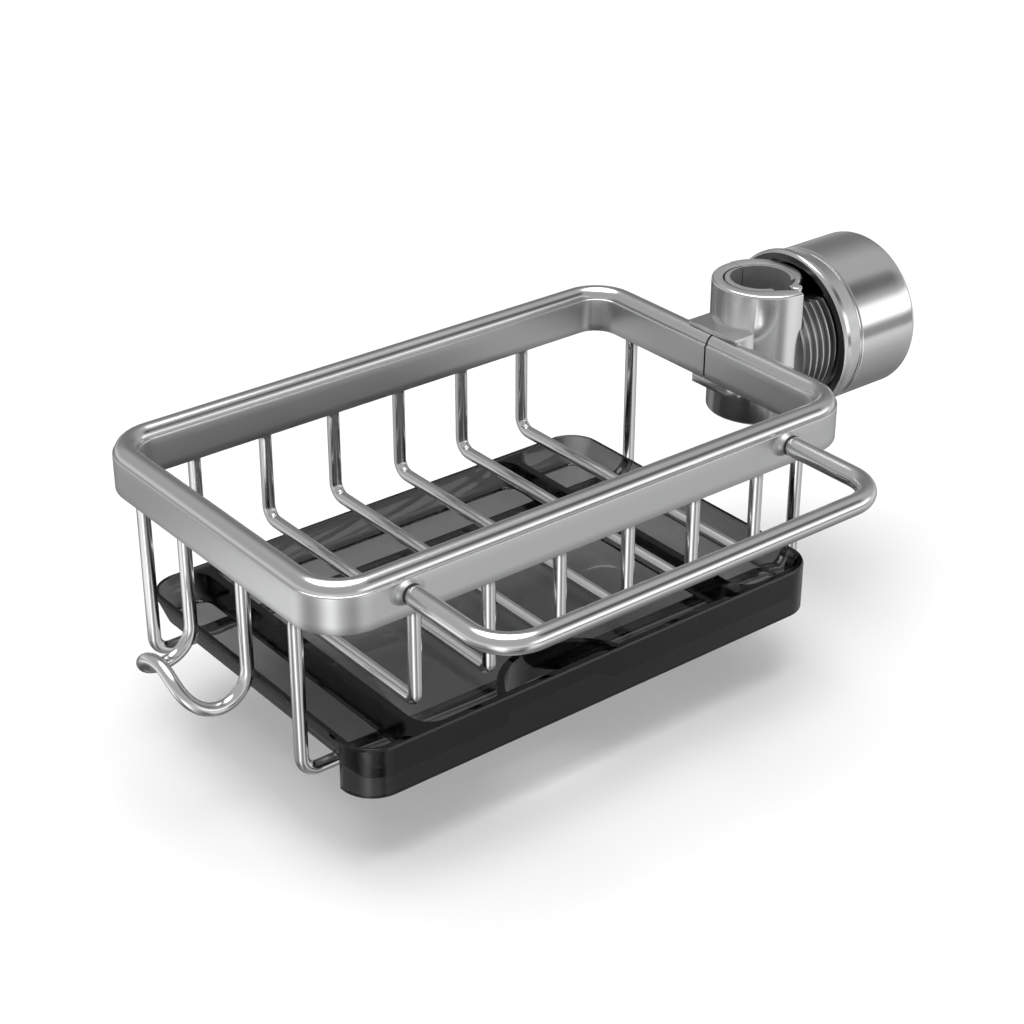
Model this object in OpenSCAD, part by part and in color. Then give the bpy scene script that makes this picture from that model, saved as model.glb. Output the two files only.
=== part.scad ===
// Sink caddy that clamps to a tap: wire basket, towel bar, hook and a drip tray that slides out.
// Millimetres. +X runs along the basket to the clamp knob, -Y is the front and +Z is up.
// The origin lies on the axis of the clamp's bore, halfway up the clamp ring.

/* [Rim] */
// Outer length of the rim band
rim_l = 220; // [190:1:260]
// Outer width of the rim band
rim_w = 135; // [115:1:160]
// Thickness of the band, seen from above
rim_t = 9; // [7:0.5:12]
// Height of the band's flat faces
rim_face_h = 13; // [11:0.5:18]
// Height of the rounded crown above the flat faces
rim_crown_h = 3.6; // [2.4:0.1:4.4]
// Rounding of the flat faces' upper edges, under the crown
rim_shoulder_r = 0.6; // [0.3:0.1:1]
// Outer radius of the band's corners
rim_corner_r = 18; // [14:1:26]
// Gap between the band's two ends, behind the clamp block
rim_seam = 0.8; // [0.2:0.1:1.4]

/* [Wires] */
// Diameter of the basket wires
wire_d = 4.5; // [3.5:0.1:5]
// Centre-to-centre distance of the floor wires
floor_pitch = 28.4; // [24:0.2:31]
// Distance of the floor wires' middle from the basket's middle, towards the hook
floor_shift = 4; // [0:0.5:8]
// Depth of the floor wires' centre line below the band
floor_drop = 34; // [28:0.5:37]
// Centre-line radius of the floor wires' front bends
floor_front_r = 2.6; // [2.6:0.2:8]
// Centre-line radius of the floor wires' rear bends
floor_rear_r = 5; // [2.6:0.2:8]
// Distance of each tray rail in from the band's outer face
rail_in = 23; // [15:0.5:32]
// Depth of the rails' centre line below the band
rail_drop = 58; // [54:0.5:66]
// Centre-line radius of the rails' bends
rail_bend_r = 6; // [4:0.5:9]

/* [Hook] */
// Distance between the hook's two legs
hook_w = 34; // [24:1:44]
// Distance of the hook's middle from the basket's long centre line
hook_y = 1.8; // [-4:0.2:6]
// Length of the hook's straight legs
hook_leg = 34; // [26:1:40]
// Centre-line radius of the hook's curl
hook_r = 11; // [9.5:0.5:14]
// Length round the curl at which the two legs start to close
hook_close = 14; // [10:1:18]
// Length of the rounded end in which the two legs meet
hook_nose = 22; // [18:1:26]

/* [Towel bar] */
// Diameter of the towel bar
bar_d = 6.8; // [6:0.1:8]
// Distance between the bar's two arms
bar_w = 155; // [130:1:165]
// Distance of the bar's middle from the basket's middle, towards the hook
bar_shift = 3.5; // [0:0.5:6]
// Distance of the bar's outer run from the band's face
bar_reach = 44.5; // [34:0.5:60]
// Height of the bar's centre line above the band's lower edge
bar_z = 9; // [7:0.1:9]
// Centre-line radius of the bar's bends
bar_bend_r = 14; // [10:0.5:20]
// Length of the bosses that carry the bar
boss_l = 2.6; // [2:0.1:5]
// Radius of the blend between a boss and the band
boss_blend = 2.4; // [1.2:0.1:2.5]
// Thickness of the washers between the bosses and the bar
washer_t = 0.6; // [0.4:0.1:1.2]
// Diameter of the spigots on the bar's ends
spigot_d = 4.6; // [3.6:0.1:5]
// Length of the spigots that enter the bosses and the band
spigot_l = 8; // [5:0.5:8]

/* [Drip tray] */
// Distance of the tray's ends in from the band's outer faces
tray_end_in = 13; // [12:0.5:18]
// Distance of the tray's middle from the basket's middle, towards the hook
tray_shift = 1; // [0:0.5:2]
// Distance of the tray's rear edge in from the band's rear face
tray_rear_in = 2.5; // [-4:0.5:20]
// Height of the tray's body
tray_h = 11.4; // [8:0.2:13]
// Distance that the tray's sides lean in from top to bottom
tray_draft = 4; // [2:0.5:4]
// Height of the tray's front panel
panel_h = 18; // [12:0.5:26]
// Thickness of the front panel
panel_t = 2.8; // [2:0.1:4]
// Distance that the front panel wraps back round each corner
panel_wrap = 13; // [12.5:0.5:20]
// Thickness of the tray's walls
tray_wall = 2; // [1.4:0.1:3]
// Thickness of the ribs between the tray's cells
tray_rib = 3; // [1.4:0.1:4]
// Thickness of the tray's floor
tray_floor = 1.8; // [1.2:0.1:2.6]
// Outer radius of the tray's corners
tray_corner_r = 12; // [9:0.5:12.5]
// Width of the cell at the hook end
cell_l_w = 20; // [12:0.5:30]
// Width of the cell at the clamp end
cell_r_w = 32.5; // [16:0.5:40]
// Inner radius of the cells' corners
cell_r = 8; // [6.5:0.5:9]
// Width of the finger scoop behind the front panel
scoop_w = 44; // [34:1:60]
// Depth of the finger scoop, front to back
scoop_d = 14; // [11:0.5:20]
// Distance of the scoop's middle from the basket's middle, towards the hook
scoop_shift = 18; // [0:1:24]
// Clearance between the tray and the rails it slides on
tray_gap = 0.3; // [0.2:0.1:1]

/* [Clamp ring and block] */
// Radius of the pipe that the clamp holds
pipe_r = 11; // [9:0.25:11.5]
// Outer radius of the clamp ring's fixed half
ring_r = 20.6; // [19.5:0.1:22]
// Height of the clamp ring
ring_h = 51; // [51:0.5:56]
// Distance of the fixed half's outer circle from the bore's axis, towards the knob
ring_out = 3; // [1.5:0.25:4]
// Distance from the bore's axis to the plane where the fixed half ends, towards the knob
split_x = 1.5; // [0.5:0.1:3]
// Thickness of the rubber liner where it is thickest
liner_t = 3; // [2:0.25:3.5]
// Rounding of the ring's upper and lower edges
ring_edge_r = 1; // [0.4:0.1:1.5]
// Distance from the bore's axis to the band's outer face
block_reach = 17; // [15:0.5:22]
// Width of the block that joins the ring to the band
block_w = 24; // [18:0.5:28]
// Distance of the block's saddle lips in from the band's outer face
saddle_in = 6; // [3:0.5:7]
// Thickness of the saddle lip over the band's crown
lip_top = 1.8; // [1.4:0.1:4]
// Thickness of the saddle lip under the band
lip_bottom = 5; // [3:0.5:7]
// Height of the bore's middle above the band's lower edge
axis_z = 7.5; // [6:0.5:9]

/* [Thread, jaw and knob] */
// Crest radius of the clamp's outer thread
thread_r = 25; // [24:0.25:25]
// Depth of the thread
thread_depth = 1.5; // [1:0.1:1.8]
// Pitch of the thread
thread_pitch = 3.2; // [2.6:0.2:5]
// Half height between the flats cut on the threaded arms
arm_half_h = 17.3; // [15:0.1:18]
// Distance from the bore's axis to the arms' ends
arm_end = 39; // [34:0.5:41]
// Clearance between the jaw and the faces that guide it
jaw_gap = 0.3; // [0.2:0.05:0.5]
// Outer radius of the jaw, which is the ring's moving half
jaw_r = 17.5; // [16.5:0.1:18]
// Thickness of the rubber pad on the jaw
jaw_pad_t = 1.6; // [1:0.1:2.5]
// Distance from the bore's axis to the knob's open end
knob_start = 15; // [14:0.5:16]
// Length of the knob
knob_l = 38.5; // [36:0.5:44]
// Radius of the knob's body
knob_r = 29.4; // [28.5:0.1:32]
// Radius of the collar at the knob's open end
collar_r = 30.9; // [29.8:0.1:34]
// Length of the collar's full-radius band
collar_band = 2.6; // [1.5:0.1:3.5]
// Length of the taper from the collar down to the groove
collar_taper = 7; // [5:0.5:9]
// Radius of the groove between the collar and the body
groove_r = 28.5; // [27.6:0.1:28.4]
// Radius of the opening in the knob's open end
lip_r = 26.7; // [25.8:0.1:27]
// Thickness of the knob's closed end
knob_end_t = 2.5; // [2:0.1:4]
// Rounding of the knob's closed end
knob_edge_r = 2.4; // [1:0.1:3]
// Clearance between the arms' thread and the nut in the knob
nut_gap = 0.3; // [0.2:0.05:0.5]
// Thickness of the thrust washer between the knob and the jaw
thrust_t = 1.5; // [1:0.1:2.5]

/* [Block screws] */
// Diameter of the two screws that hold the block to the band
screw_d = 4; // [3:0.5:4.5]
// Distance between the two screws
screw_w = 12; // [9:0.5:14]
// Diameter of the screw heads
screw_head_d = 7; // [6:0.5:7.5]
// Height of the screw heads
screw_head_h = 2.4; // [2:0.1:2.6]
// Depth of the screws' thread in the band
screw_bite = 5.5; // [4:0.5:6]

/* [Hidden] */

$fn = 96;
// Overlap used where two shapes of one solid have to merge
eps = 0.01;
// Clearance round fixed pins, spigots and screws
fit = 0.05;
// Number of floor wires
floor_count = 6;

// The basket's middle and the height of the band's lower edge
basket_x = -(block_reach + rim_l / 2);
band_z = -axis_z;
// The band's centre line, seen from above
band_mid_x = (rim_l - rim_t) / 2;
band_mid_y = (rim_w - rim_t) / 2;
crown_half = rim_t / 2 - rim_shoulder_r;
crown_r = (crown_half * crown_half + rim_crown_h * rim_crown_h) / (2 * rim_crown_h);
rim_h = rim_face_h + rim_crown_h;

// Heights of the tray, counted from the band's lower edge
tray_bottom = -rail_drop + wire_d / 2 + tray_gap;
tray_top = tray_bottom + tray_h;
// The front panel is flush with the band's front face
tray_front = -rim_w / 2 + 0.5;
tray_w = rim_w / 2 - tray_rear_in - tray_front;
tray_l = rim_l - 2 * tray_end_in;
rail_y = rim_w / 2 - rail_in;

// The ring's own bore leaves room for the liner
ring_bore_r = pipe_r + liner_t / 2 - 0.1;
ring_bore_x = -(pipe_r + liner_t - ring_bore_r);
// Half width of the slot between the arms, which lets the pipe in
slot_half = pipe_r + 0.6;
root_r = thread_r - thread_depth;
// Inner radius of the nut, and the shell's seat for it
nut_r = thread_r + nut_gap;
nut_seat_r = lip_r + 0.6;
knob_end = knob_start + knob_l;
thrust_x = knob_end - knob_end_t - thrust_t;
jaw_half_w = slot_half - jaw_gap;
jaw_half_h = arm_half_h - jaw_gap;
// Distance from the bore's axis to the edges of the jaw's part between the arms
jaw_x = 8;
// Everything of the jaw past this plane has to pass through the knob's opening
neck_x = knob_start - 0.4;
neck_r = lip_r - 0.5;
// Length of the knob's lip, in front of its nut
lip_l = 4;

// Steps used along the hook's curl and round its section
hook_steps = 7;
nose_steps = 28;
hook_sides = 16;

// Shapes used by several pieces

// Rectangle centred on the origin, with exact round corners
module round_rect(l, w, r) {
    square([l - 2 * r, w], center = true);
    square([l, w - 2 * r], center = true);
    for (x = [-1, 1], y = [-1, 1])
        translate([x * (l / 2 - r), y * (w / 2 - r)])
            circle(r);
}

// Rod along +Z from the origin
module rod(d, l) {
    cylinder(d = d, h = l);
}

// Quarter bend: starts at the origin along -Z and ends along +X
module bend(d, r) {
    translate([r, 0, 0])
        rotate([90, 0, 0])
            rotate([0, 0, 180])
                rotate_extrude(angle = 90)
                    translate([r, 0])
                        circle(d = d);
}

// U-shaped wire in the XZ plane: legs down from z = 0, with bends r0 at -X and r1 at +X, and a run
module u_wire(d, span, drop, r0, r1) {
    for (side = [0, 1])
        let (r = side == 0 ? r0 : r1)
        mirror([side, 0, 0])
            translate([-span / 2, 0, 0]) {
                translate([0, 0, -(drop - r)])
                    rod(d, drop - r);
                translate([0, 0, -(drop - r)])
                    bend(d, r);
                translate([r, 0, -drop])
                    rotate([0, 90, 0])
                        rod(d, span / 2 - r);
            }
}

// Places its children at the basket's middle, on the band's lower edge
module in_basket() {
    translate([basket_x, 0, band_z])
        children();
}

// Section of the rim band: x runs inward from the outer face, y is height
module rim_section() {
    square([rim_t, rim_face_h - rim_shoulder_r]);
    translate([rim_shoulder_r, 0])
        square([rim_t - 2 * rim_shoulder_r, rim_face_h]);
    for (x = [rim_shoulder_r, rim_t - rim_shoulder_r])
        translate([x, rim_face_h - rim_shoulder_r])
            circle(rim_shoulder_r);
    intersection() {
        translate([rim_t / 2, rim_h - crown_r])
            circle(crown_r);
        translate([0, rim_face_h - rim_shoulder_r])
            square([rim_t, rim_crown_h + rim_shoulder_r]);
    }
}

// Straight stretch of the band along X, with its outer face on y = 0 and its body towards +Y
module rim_straight(l) {
    translate([-l / 2, 0, 0])
        rotate([90, 0, 90])
            linear_extrude(l)
                rim_section();
}

// Corner of the band, centred on its own arc, in the quadrant of -X and -Y
module rim_corner() {
    rotate([0, 0, 180])
        rotate_extrude(angle = 90)
            translate([rim_corner_r, 0])
                mirror([1, 0])
                    rim_section();
}

module rim_ring() {
    straight_l = rim_l - 2 * rim_corner_r;
    straight_w = rim_w - 2 * rim_corner_r;
    for (turn = [0, 180])
        rotate([0, 0, turn]) {
            translate([0, -rim_w / 2, 0])
                rim_straight(straight_l);
            translate([rim_l / 2, 0, 0])
                rotate([0, 0, 90])
                    rim_straight(straight_w);
            translate([-rim_l / 2 + rim_corner_r, -rim_w / 2 + rim_corner_r, 0])
                rim_corner();
            translate([rim_l / 2 - rim_corner_r, -rim_w / 2 + rim_corner_r, 0])
                rotate([0, 0, 90])
                    rim_corner();
        }
}

// Boss that carries one end of the towel bar: its axis is Y and its foot is on the band's face
module bar_boss() {
    foot_r = bar_d / 2 + boss_blend;
    intersection() {
        rotate([90, 0, 0])
            difference() {
                rotate_extrude()
                    difference() {
                        square([foot_r, boss_l]);
                        translate([foot_r, boss_blend])
                            circle(boss_blend);
                        translate([bar_d / 2, boss_blend])
                            square([foot_r, boss_l]);
                    }
            }
        translate([-foot_r, -boss_l, -bar_z])
            cube([2 * foot_r, boss_l, rim_face_h]);
    }
}

// Places its children on the axis of one towel bar arm, on the band's front face
module at_bar_arm(side) {
    translate([side * bar_w / 2 - bar_shift, -rim_w / 2, bar_z])
        children();
}

// The basket

module rim_band() {
    screw_hole_d = screw_d + 2 * fit;
    color("silver")
        in_basket()
            difference() {
                union() {
                    rim_ring();
                    for (side = [-1, 1])
                        at_bar_arm(side)
                            bar_boss();
                }
                // The two ends of the bent bar meet here
                translate([rim_l / 2 - rim_t - 1, -rim_seam / 2, -1])
                    cube([rim_t + 2, rim_seam, rim_h + 2]);
                // Blind holes for the towel bar's spigots
                for (side = [-1, 1])
                    at_bar_arm(side)
                        translate([0, spigot_l - boss_l, 0])
                            rotate([90, 0, 0])
                                rod(spigot_d + 2 * fit, spigot_l + 1);
                // Blind holes for the block's screws
                for (side = [-1, 1])
                    translate([rim_l / 2 - screw_bite - 0.5, side * screw_w / 2, axis_z])
                        rotate([0, 90, 0])
                            rod(screw_hole_d, screw_bite + 1.5);
            }
}

module floor_wire(i) {
    color("silver")
        in_basket()
            translate([(i - (floor_count - 1) / 2) * floor_pitch - floor_shift, 0, 0])
                rotate([0, 0, 90])
                    u_wire(wire_d, 2 * band_mid_y, floor_drop, floor_front_r, floor_rear_r);
}

module rail_wire(side) {
    color("silver")
        in_basket()
            translate([0, side * rail_y, 0])
                u_wire(wire_d, 2 * band_mid_x, rail_drop, rail_bend_r, rail_bend_r);
}

// The hook is a flat loop of wire curled outward: s runs down its developed length
curl_l = PI * hook_r;
function curl_angle(s) = s < 0 ? 0 : s > curl_l ? 180 : s / hook_r * 180 / PI;
function curl_x(s) = -hook_r * (1 - cos(curl_angle(s)));
function curl_z(s) = -hook_r * sin(curl_angle(s)) - min(s, 0) + max(s - curl_l, 0);
function curl_out(s) = [cos(curl_angle(s)), 0, -sin(curl_angle(s))];
function curl_down(s) = [-sin(curl_angle(s)), 0, -cos(curl_angle(s))];
// Each point of the flat loop is [s, y, ds, dy]
hook_flat = concat(
    [[-hook_leg, 1, 1, 0]],
    [for (i = [0 : hook_steps - 1]) [hook_close * i / hook_steps, 1, 1, 0]],
    [for (i = [0 : nose_steps])
        let (a = 180 * i / nose_steps)
        [hook_close + hook_nose * sin(a), cos(a), hook_nose * cos(a), -hook_w / 2 * sin(a)]],
    [for (i = [hook_steps - 1 : -1 : 0]) [hook_close * i / hook_steps, -1, -1, 0]],
    [[-hook_leg, -1, -1, 0]]
);
function unit(v) = v / norm(v);
function hook_ring(p) =
    let (
        centre = [curl_x(p[0]), p[1] * hook_w / 2, curl_z(p[0])],
        along = unit(curl_down(p[0]) * p[2] + [0, p[3], 0]),
        out = curl_out(p[0]),
        side = cross(along, out)
    )
    [for (k = [0 : hook_sides - 1])
        let (a = 360 * k / hook_sides)
        centre + wire_d / 2 * (cos(a) * out + sin(a) * side)];

module hook_wire() {
    rings = [for (p = hook_flat) each hook_ring(p)];
    n = len(hook_flat);
    m = hook_sides;
    walls = [for (i = [0 : n - 2], k = [0 : m - 1])
        let (a = i * m + k, b = i * m + (k + 1) % m)
        each [[a, b, a + m], [b, b + m, a + m]]];
    caps = [[for (k = [m - 1 : -1 : 0]) k], [for (k = [0 : m - 1]) (n - 1) * m + k]];
    color("silver")
        in_basket()
            translate([-band_mid_x, hook_y, -hook_leg])
                polyhedron(points = rings, faces = concat(walls, caps));
}

// The towel bar

module towel_bar() {
    arm_l = bar_reach - boss_l - washer_t - bar_bend_r;
    color("silver")
        in_basket() {
            for (side = [-1, 1])
                at_bar_arm(side)
                    rotate([90, 0, 0]) {
                        translate([0, 0, boss_l + washer_t])
                            rod(bar_d, arm_l);
                        translate([0, 0, boss_l - spigot_l + 0.5])
                            rod(spigot_d, spigot_l + washer_t);
                        translate([0, 0, bar_reach - bar_bend_r])
                            rotate([180, 0, side > 0 ? 180 : 0])
                                bend(bar_d, bar_bend_r);
                    }
            translate([-bar_w / 2 - bar_shift + bar_bend_r, -rim_w / 2 - bar_reach, bar_z])
                rotate([0, 90, 0])
                    rod(bar_d, bar_w - 2 * bar_bend_r);
        }
}

module bar_washer(side) {
    color("dimgray")
        in_basket()
            at_bar_arm(side)
                rotate([90, 0, 0])
                    translate([0, 0, boss_l])
                        difference() {
                            rod(bar_d - 0.5, washer_t);
                            translate([0, 0, -1])
                                rod(spigot_d + 2 * fit, washer_t + 2);
                        }
}

// The drip tray

// Plan of the tray, with the front panel's outer face on y = tray_front
module tray_plan(inset) {
    translate([-tray_shift, tray_front + tray_w / 2])
        round_rect(tray_l - 2 * inset, tray_w - 2 * inset, tray_corner_r - inset);
}

// Rounded block from z = 0 up to h: l, w and r are its sizes at the top, and its sides lean in by d
module drafted_block(l, w, r, h, d) {
    for (turn = [0, 1]) {
        side = turn == 0 ? w : l;
        rotate([90, 0, turn == 0 ? 90 : 0])
            translate([0, 0, turn == 0 ? -(l - 2 * r) / 2 : -(w - 2 * r) / 2])
                linear_extrude(turn == 0 ? l - 2 * r : w - 2 * r)
                    polygon([
                        [-side / 2 + d, 0],
                        [side / 2 - d, 0],
                        [side / 2, h],
                        [-side / 2, h]
                    ]);
    }
    for (x = [-1, 1], y = [-1, 1])
        translate([x * (l / 2 - r), y * (w / 2 - r), 0])
            cylinder(r1 = r - d, r2 = r, h = h);
}

// Space of one cell above the tray's floor, from x0 to x1 and from y0 to y1 at the tray's top
module cell(x0, x1, y0, y1, r) {
    deep = tray_h - tray_floor;
    lean = tray_draft * deep / tray_h;
    over = 1;
    // Continued above the tray's top, so that the cut leaves no skin
    translate([(x0 + x1) / 2, (y0 + y1) / 2, tray_bottom + tray_floor])
        drafted_block(
            x1 - x0 + 2 * over * lean / deep,
            y1 - y0 + 2 * over * lean / deep,
            r + over * lean / deep,
            deep + over,
            lean * (deep + over) / deep
        );
}

// Half-oval behind the front panel, grown by grow on its curved side
module scoop_plan(grow) {
    half = scoop_w / 2 + grow;
    deep = scoop_d + grow;
    r = (half * half + deep * deep) / (2 * deep);
    translate([-scoop_shift - tray_shift, tray_front + panel_t])
        intersection() {
            translate([0, deep - r])
                circle(r);
            translate([-half, 0])
                square([2 * half, deep + 1]);
        }
}

module tray_cells() {
    x0 = -tray_shift - tray_l / 2 + tray_wall;
    x1 = -tray_shift + tray_l / 2 - tray_wall;
    y0 = tray_front + panel_t;
    y1 = tray_front + tray_w - tray_wall;
    cell(x0, x0 + cell_l_w, y0, y1, cell_r);
    cell(x1 - cell_r_w, x1, y0, y1, cell_r);
    difference() {
        cell(x0 + cell_l_w + tray_rib, x1 - cell_r_w - tray_rib, y0, y1, cell_r);
        // The scoop's wall stands in this cell
        translate([0, 0, tray_bottom])
            linear_extrude(tray_h + 1)
                scoop_plan(tray_wall);
    }
}

module drip_tray() {
    color([0.12, 0.12, 0.13])
        in_basket()
            difference() {
                union() {
                    translate([-tray_shift, tray_front + tray_w / 2, tray_bottom])
                        drafted_block(tray_l, tray_w, tray_corner_r, tray_h, tray_draft);
                    // Front panel, hanging below the body
                    translate([0, 0, tray_top - panel_h])
                        linear_extrude(panel_h)
                            difference() {
                                intersection() {
                                    tray_plan(0);
                                    translate([-rim_l, tray_front - 1])
                                        square([2 * rim_l, panel_wrap + 1]);
                                }
                                tray_plan(panel_t);
                            }
                }
                tray_cells();
                // The finger scoop is open above and below
                translate([0, 0, tray_bottom - 1])
                    linear_extrude(tray_h + 2)
                        scoop_plan(0);
            }
}

// The clamp

// Solid of revolution about X of the thread's profile, from x0 to x1
module thread_solid(x0, x1) {
    crest = thread_pitch * 0.3;
    flank = thread_pitch * 0.2;
    count = floor((x1 - x0) / thread_pitch);
    rotate([90, 0, 90])
        rotate_extrude()
            rotate([0, 0, 90])
                mirror([0, 1]) {
                    // The core starts inside the ring, so that the two merge
                    translate([x0 - 1, 0])
                        square([x1 - x0 + 1, root_r]);
                    for (i = [0 : count - 1])
                        translate([x0 + thread_pitch * (i + 0.5), 0])
                            polygon([
                                [-crest / 2 - flank, root_r - eps],
                                [-crest / 2, thread_r],
                                [crest / 2, thread_r],
                                [crest / 2 + flank, root_r - eps]
                            ]);
                }
}

// Cylinder about Z, centred on the origin, with rounded edges
module edged_cylinder(r, h, e) {
    rotate_extrude() {
        translate([0, -h / 2 + e])
            square([r, h - 2 * e]);
        translate([0, -h / 2])
            square([r - e, h]);
        for (z = [-1, 1])
            translate([r - e, z * (h / 2 - e)])
                circle(e);
    }
}

// Space that stays free between the arms, for the pipe and the jaw
module arm_slot() {
    translate([0, -slot_half, -ring_h])
        cube([arm_end + 1, 2 * slot_half, 2 * ring_h]);
}

// Space past the neck plane that belongs to the knob
module beyond_neck() {
    difference() {
        translate([neck_x, -ring_h, -ring_h])
            cube([arm_end, 2 * ring_h, 2 * ring_h]);
        rotate([0, 90, 0])
            cylinder(r = neck_r, h = 2 * arm_end);
    }
}

// Channel across the block and the ring, which takes the band
module band_channel() {
    translate([0, -block_w, band_z])
        rotate([-90, 0, 0])
            linear_extrude(2 * block_w)
                mirror([0, 1])
                    translate([-block_reach, 0])
                        mirror([1, 0]) {
                            translate([rim_t / 2, rim_h - crown_r])
                                circle(crown_r);
                            translate([rim_t / 2, 0])
                                square([rim_t / 2 + 1, rim_h]);
                            square([rim_t, rim_face_h]);
                        }
}

module saddle_block() {
    z0 = band_z - lip_bottom;
    z1 = band_z + rim_h + lip_top;
    x0 = -block_reach - saddle_in;
    chamfer = 2;
    difference() {
        translate([x0, -block_w / 2, z0])
            cube([ring_bore_x - x0, block_w, z1 - z0]);
        // Chamfers on the lower lip's corners
        for (side = [-1, 1])
            translate([x0, side * block_w / 2, z0])
                rotate([0, 0, 45])
                    cube([2 * chamfer, 2 * chamfer, 2 * lip_bottom], center = true);
    }
}

module at_screw(side) {
    translate([ring_bore_x - ring_bore_r, side * screw_w / 2, 0])
        rotate([0, -90, 0])
            children();
}

// Depth of the screw heads' seats below the bore's wall, at the screws' place
head_seat = ring_bore_r - sqrt(ring_bore_r * ring_bore_r - pow(screw_w / 2 + screw_head_d / 2, 2));

module clamp_body() {
    color("silver")
        difference() {
            union() {
                intersection() {
                    translate([ring_out, 0, 0])
                        edged_cylinder(ring_r, ring_h, ring_edge_r);
                    translate([split_x - 2 * ring_r, -2 * ring_r, -ring_h])
                        cube([2 * ring_r, 4 * ring_r, 2 * ring_h]);
                }
                saddle_block();
                intersection() {
                    thread_solid(split_x, arm_end);
                    translate([0, -ring_h, -arm_half_h])
                        cube([arm_end + 1, 2 * ring_h, 2 * arm_half_h]);
                }
            }
            band_channel();
            translate([ring_bore_x, 0, -ring_h])
                cylinder(r = ring_bore_r, h = 2 * ring_h);
            arm_slot();
            // Screw holes, with seats for the heads behind the liner
            for (side = [-1, 1])
                at_screw(side) {
                    translate([0, 0, -head_seat - 2])
                        rod(screw_head_d + 4 * fit, head_seat + 2 + screw_head_h);
                    rod(screw_d + 2 * fit, block_reach);
                }
        }
}

module clamp_liner() {
    liner_h = ring_h - 1;
    color("gray")
        intersection() {
            difference() {
                translate([ring_bore_x, 0, -liner_h / 2])
                    cylinder(r = ring_bore_r - fit, h = liner_h);
                translate([0, 0, -ring_h])
                    cylinder(r = pipe_r, h = 2 * ring_h);
            }
            translate([-ring_h, -ring_h, -ring_h])
                cube([ring_h + split_x, 2 * ring_h, 2 * ring_h]);
        }
}

module block_screws() {
    shank_l = block_reach + ring_bore_x - ring_bore_r + screw_bite;
    color("gray")
        for (side = [-1, 1])
            at_screw(side) {
                difference() {
                    rod(screw_head_d, screw_head_h - fit);
                    translate([0, 0, -1])
                        cylinder(d = screw_d * 0.75, h = 1 + screw_head_h * 0.55, $fn = 6);
                }
                translate([0, 0, screw_head_h - 2 * fit])
                    rod(screw_d, shank_l - screw_head_h);
            }
}

// Space of the ring's moving half: between the arms, and all that lies above and below them.
// It keeps back by inset from its edges
module jaw_space(inset) {
    wing_x = split_x + jaw_gap + inset;
    wing_z = arm_half_h + jaw_gap + inset;
    translate([jaw_x + inset, -jaw_half_w + inset, -ring_h])
        cube([ring_r, 2 * (jaw_half_w - inset), 2 * ring_h]);
    for (side = [0, 1])
        mirror([0, 0, side])
            translate([wing_x, -ring_r, wing_z])
                cube([ring_r, 2 * ring_r, ring_h]);
}

// The jaw closes the ring and slides between the arms
module clamp_jaw() {
    pad_seat_r = pipe_r + jaw_pad_t;
    color("silver")
        difference() {
            union() {
                intersection() {
                    edged_cylinder(jaw_r, ring_h - 0.6, ring_edge_r);
                    jaw_space(0);
                }
                translate([pad_seat_r - 1, -jaw_half_w, -jaw_half_h])
                    cube([thrust_x - pad_seat_r + 1, 2 * jaw_half_w, 2 * jaw_half_h]);
            }
            translate([0, 0, -ring_h])
                cylinder(r = pad_seat_r, h = 2 * ring_h);
            beyond_neck();
        }
}

module jaw_pad() {
    pad_h = ring_h - 1;
    color("gray")
        intersection() {
            difference() {
                translate([0, 0, -pad_h / 2])
                    cylinder(r = pipe_r + jaw_pad_t - fit, h = pad_h);
                translate([0, 0, -ring_h])
                    cylinder(r = pipe_r, h = 2 * ring_h);
            }
            jaw_space(0.8);
        }
}

// Radius profile of the knob about its axis: x is measured from its open end
module knob_profile() {
    bevel = 1;
    taper_end = collar_band + collar_taper;
    step = 0.6;
    round_end = [for (a = [0 : 15 : 90])
        [knob_l - knob_edge_r * (1 - sin(a)), knob_r - knob_edge_r * (1 - cos(a))]];
    polygon(concat(
        [
            [0, 0],
            [0, collar_r - bevel],
            [bevel, collar_r],
            [collar_band, collar_r],
            [taper_end, groove_r],
            [taper_end + step, groove_r],
            [taper_end + 2 * step, knob_r]
        ],
        round_end,
        [[knob_l, 0]]
    ));
}

// Revolves a profile about X, from the knob's open end
module about_x(x0) {
    translate([x0, 0, 0])
        rotate([90, 0, 90])
            rotate_extrude()
                rotate([0, 0, 90])
                    mirror([0, 1])
                        children();
}

module knob_shell() {
    color("silver")
        about_x(knob_start)
            difference() {
                knob_profile();
                translate([-1, 0])
                    square([lip_l + 1 + eps, lip_r]);
                translate([lip_l, 0])
                    square([knob_l - lip_l - knob_end_t, nut_seat_r]);
            }
}

// Threaded nut pressed into the shell
module knob_nut() {
    color("gray")
        about_x(knob_start + lip_l)
            translate([0, nut_r])
                square([knob_l - lip_l - knob_end_t, nut_seat_r - nut_r - fit]);
}

module thrust_washer() {
    color("white")
        translate([thrust_x, 0, 0])
            rotate([0, 90, 0])
                cylinder(r = nut_r - 1, h = thrust_t);
}

rim_band();
floor_wire(0);  // floor_wire_1
floor_wire(1);  // floor_wire_2
floor_wire(2);  // floor_wire_3
floor_wire(3);  // floor_wire_4
floor_wire(4);  // floor_wire_5
floor_wire(5);  // floor_wire_6
rail_wire(-1);  // rail_wire_front
rail_wire(1);  // rail_wire_rear
hook_wire();
towel_bar();
bar_washer(-1);  // bar_washer_left
bar_washer(1);  // bar_washer_right
drip_tray();
clamp_body();
clamp_liner();
block_screws();
clamp_jaw();
jaw_pad();
knob_shell();
knob_nut();
thrust_washer();
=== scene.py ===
import math

import bmesh
import bpy
from mathutils import Matrix, Vector


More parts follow.
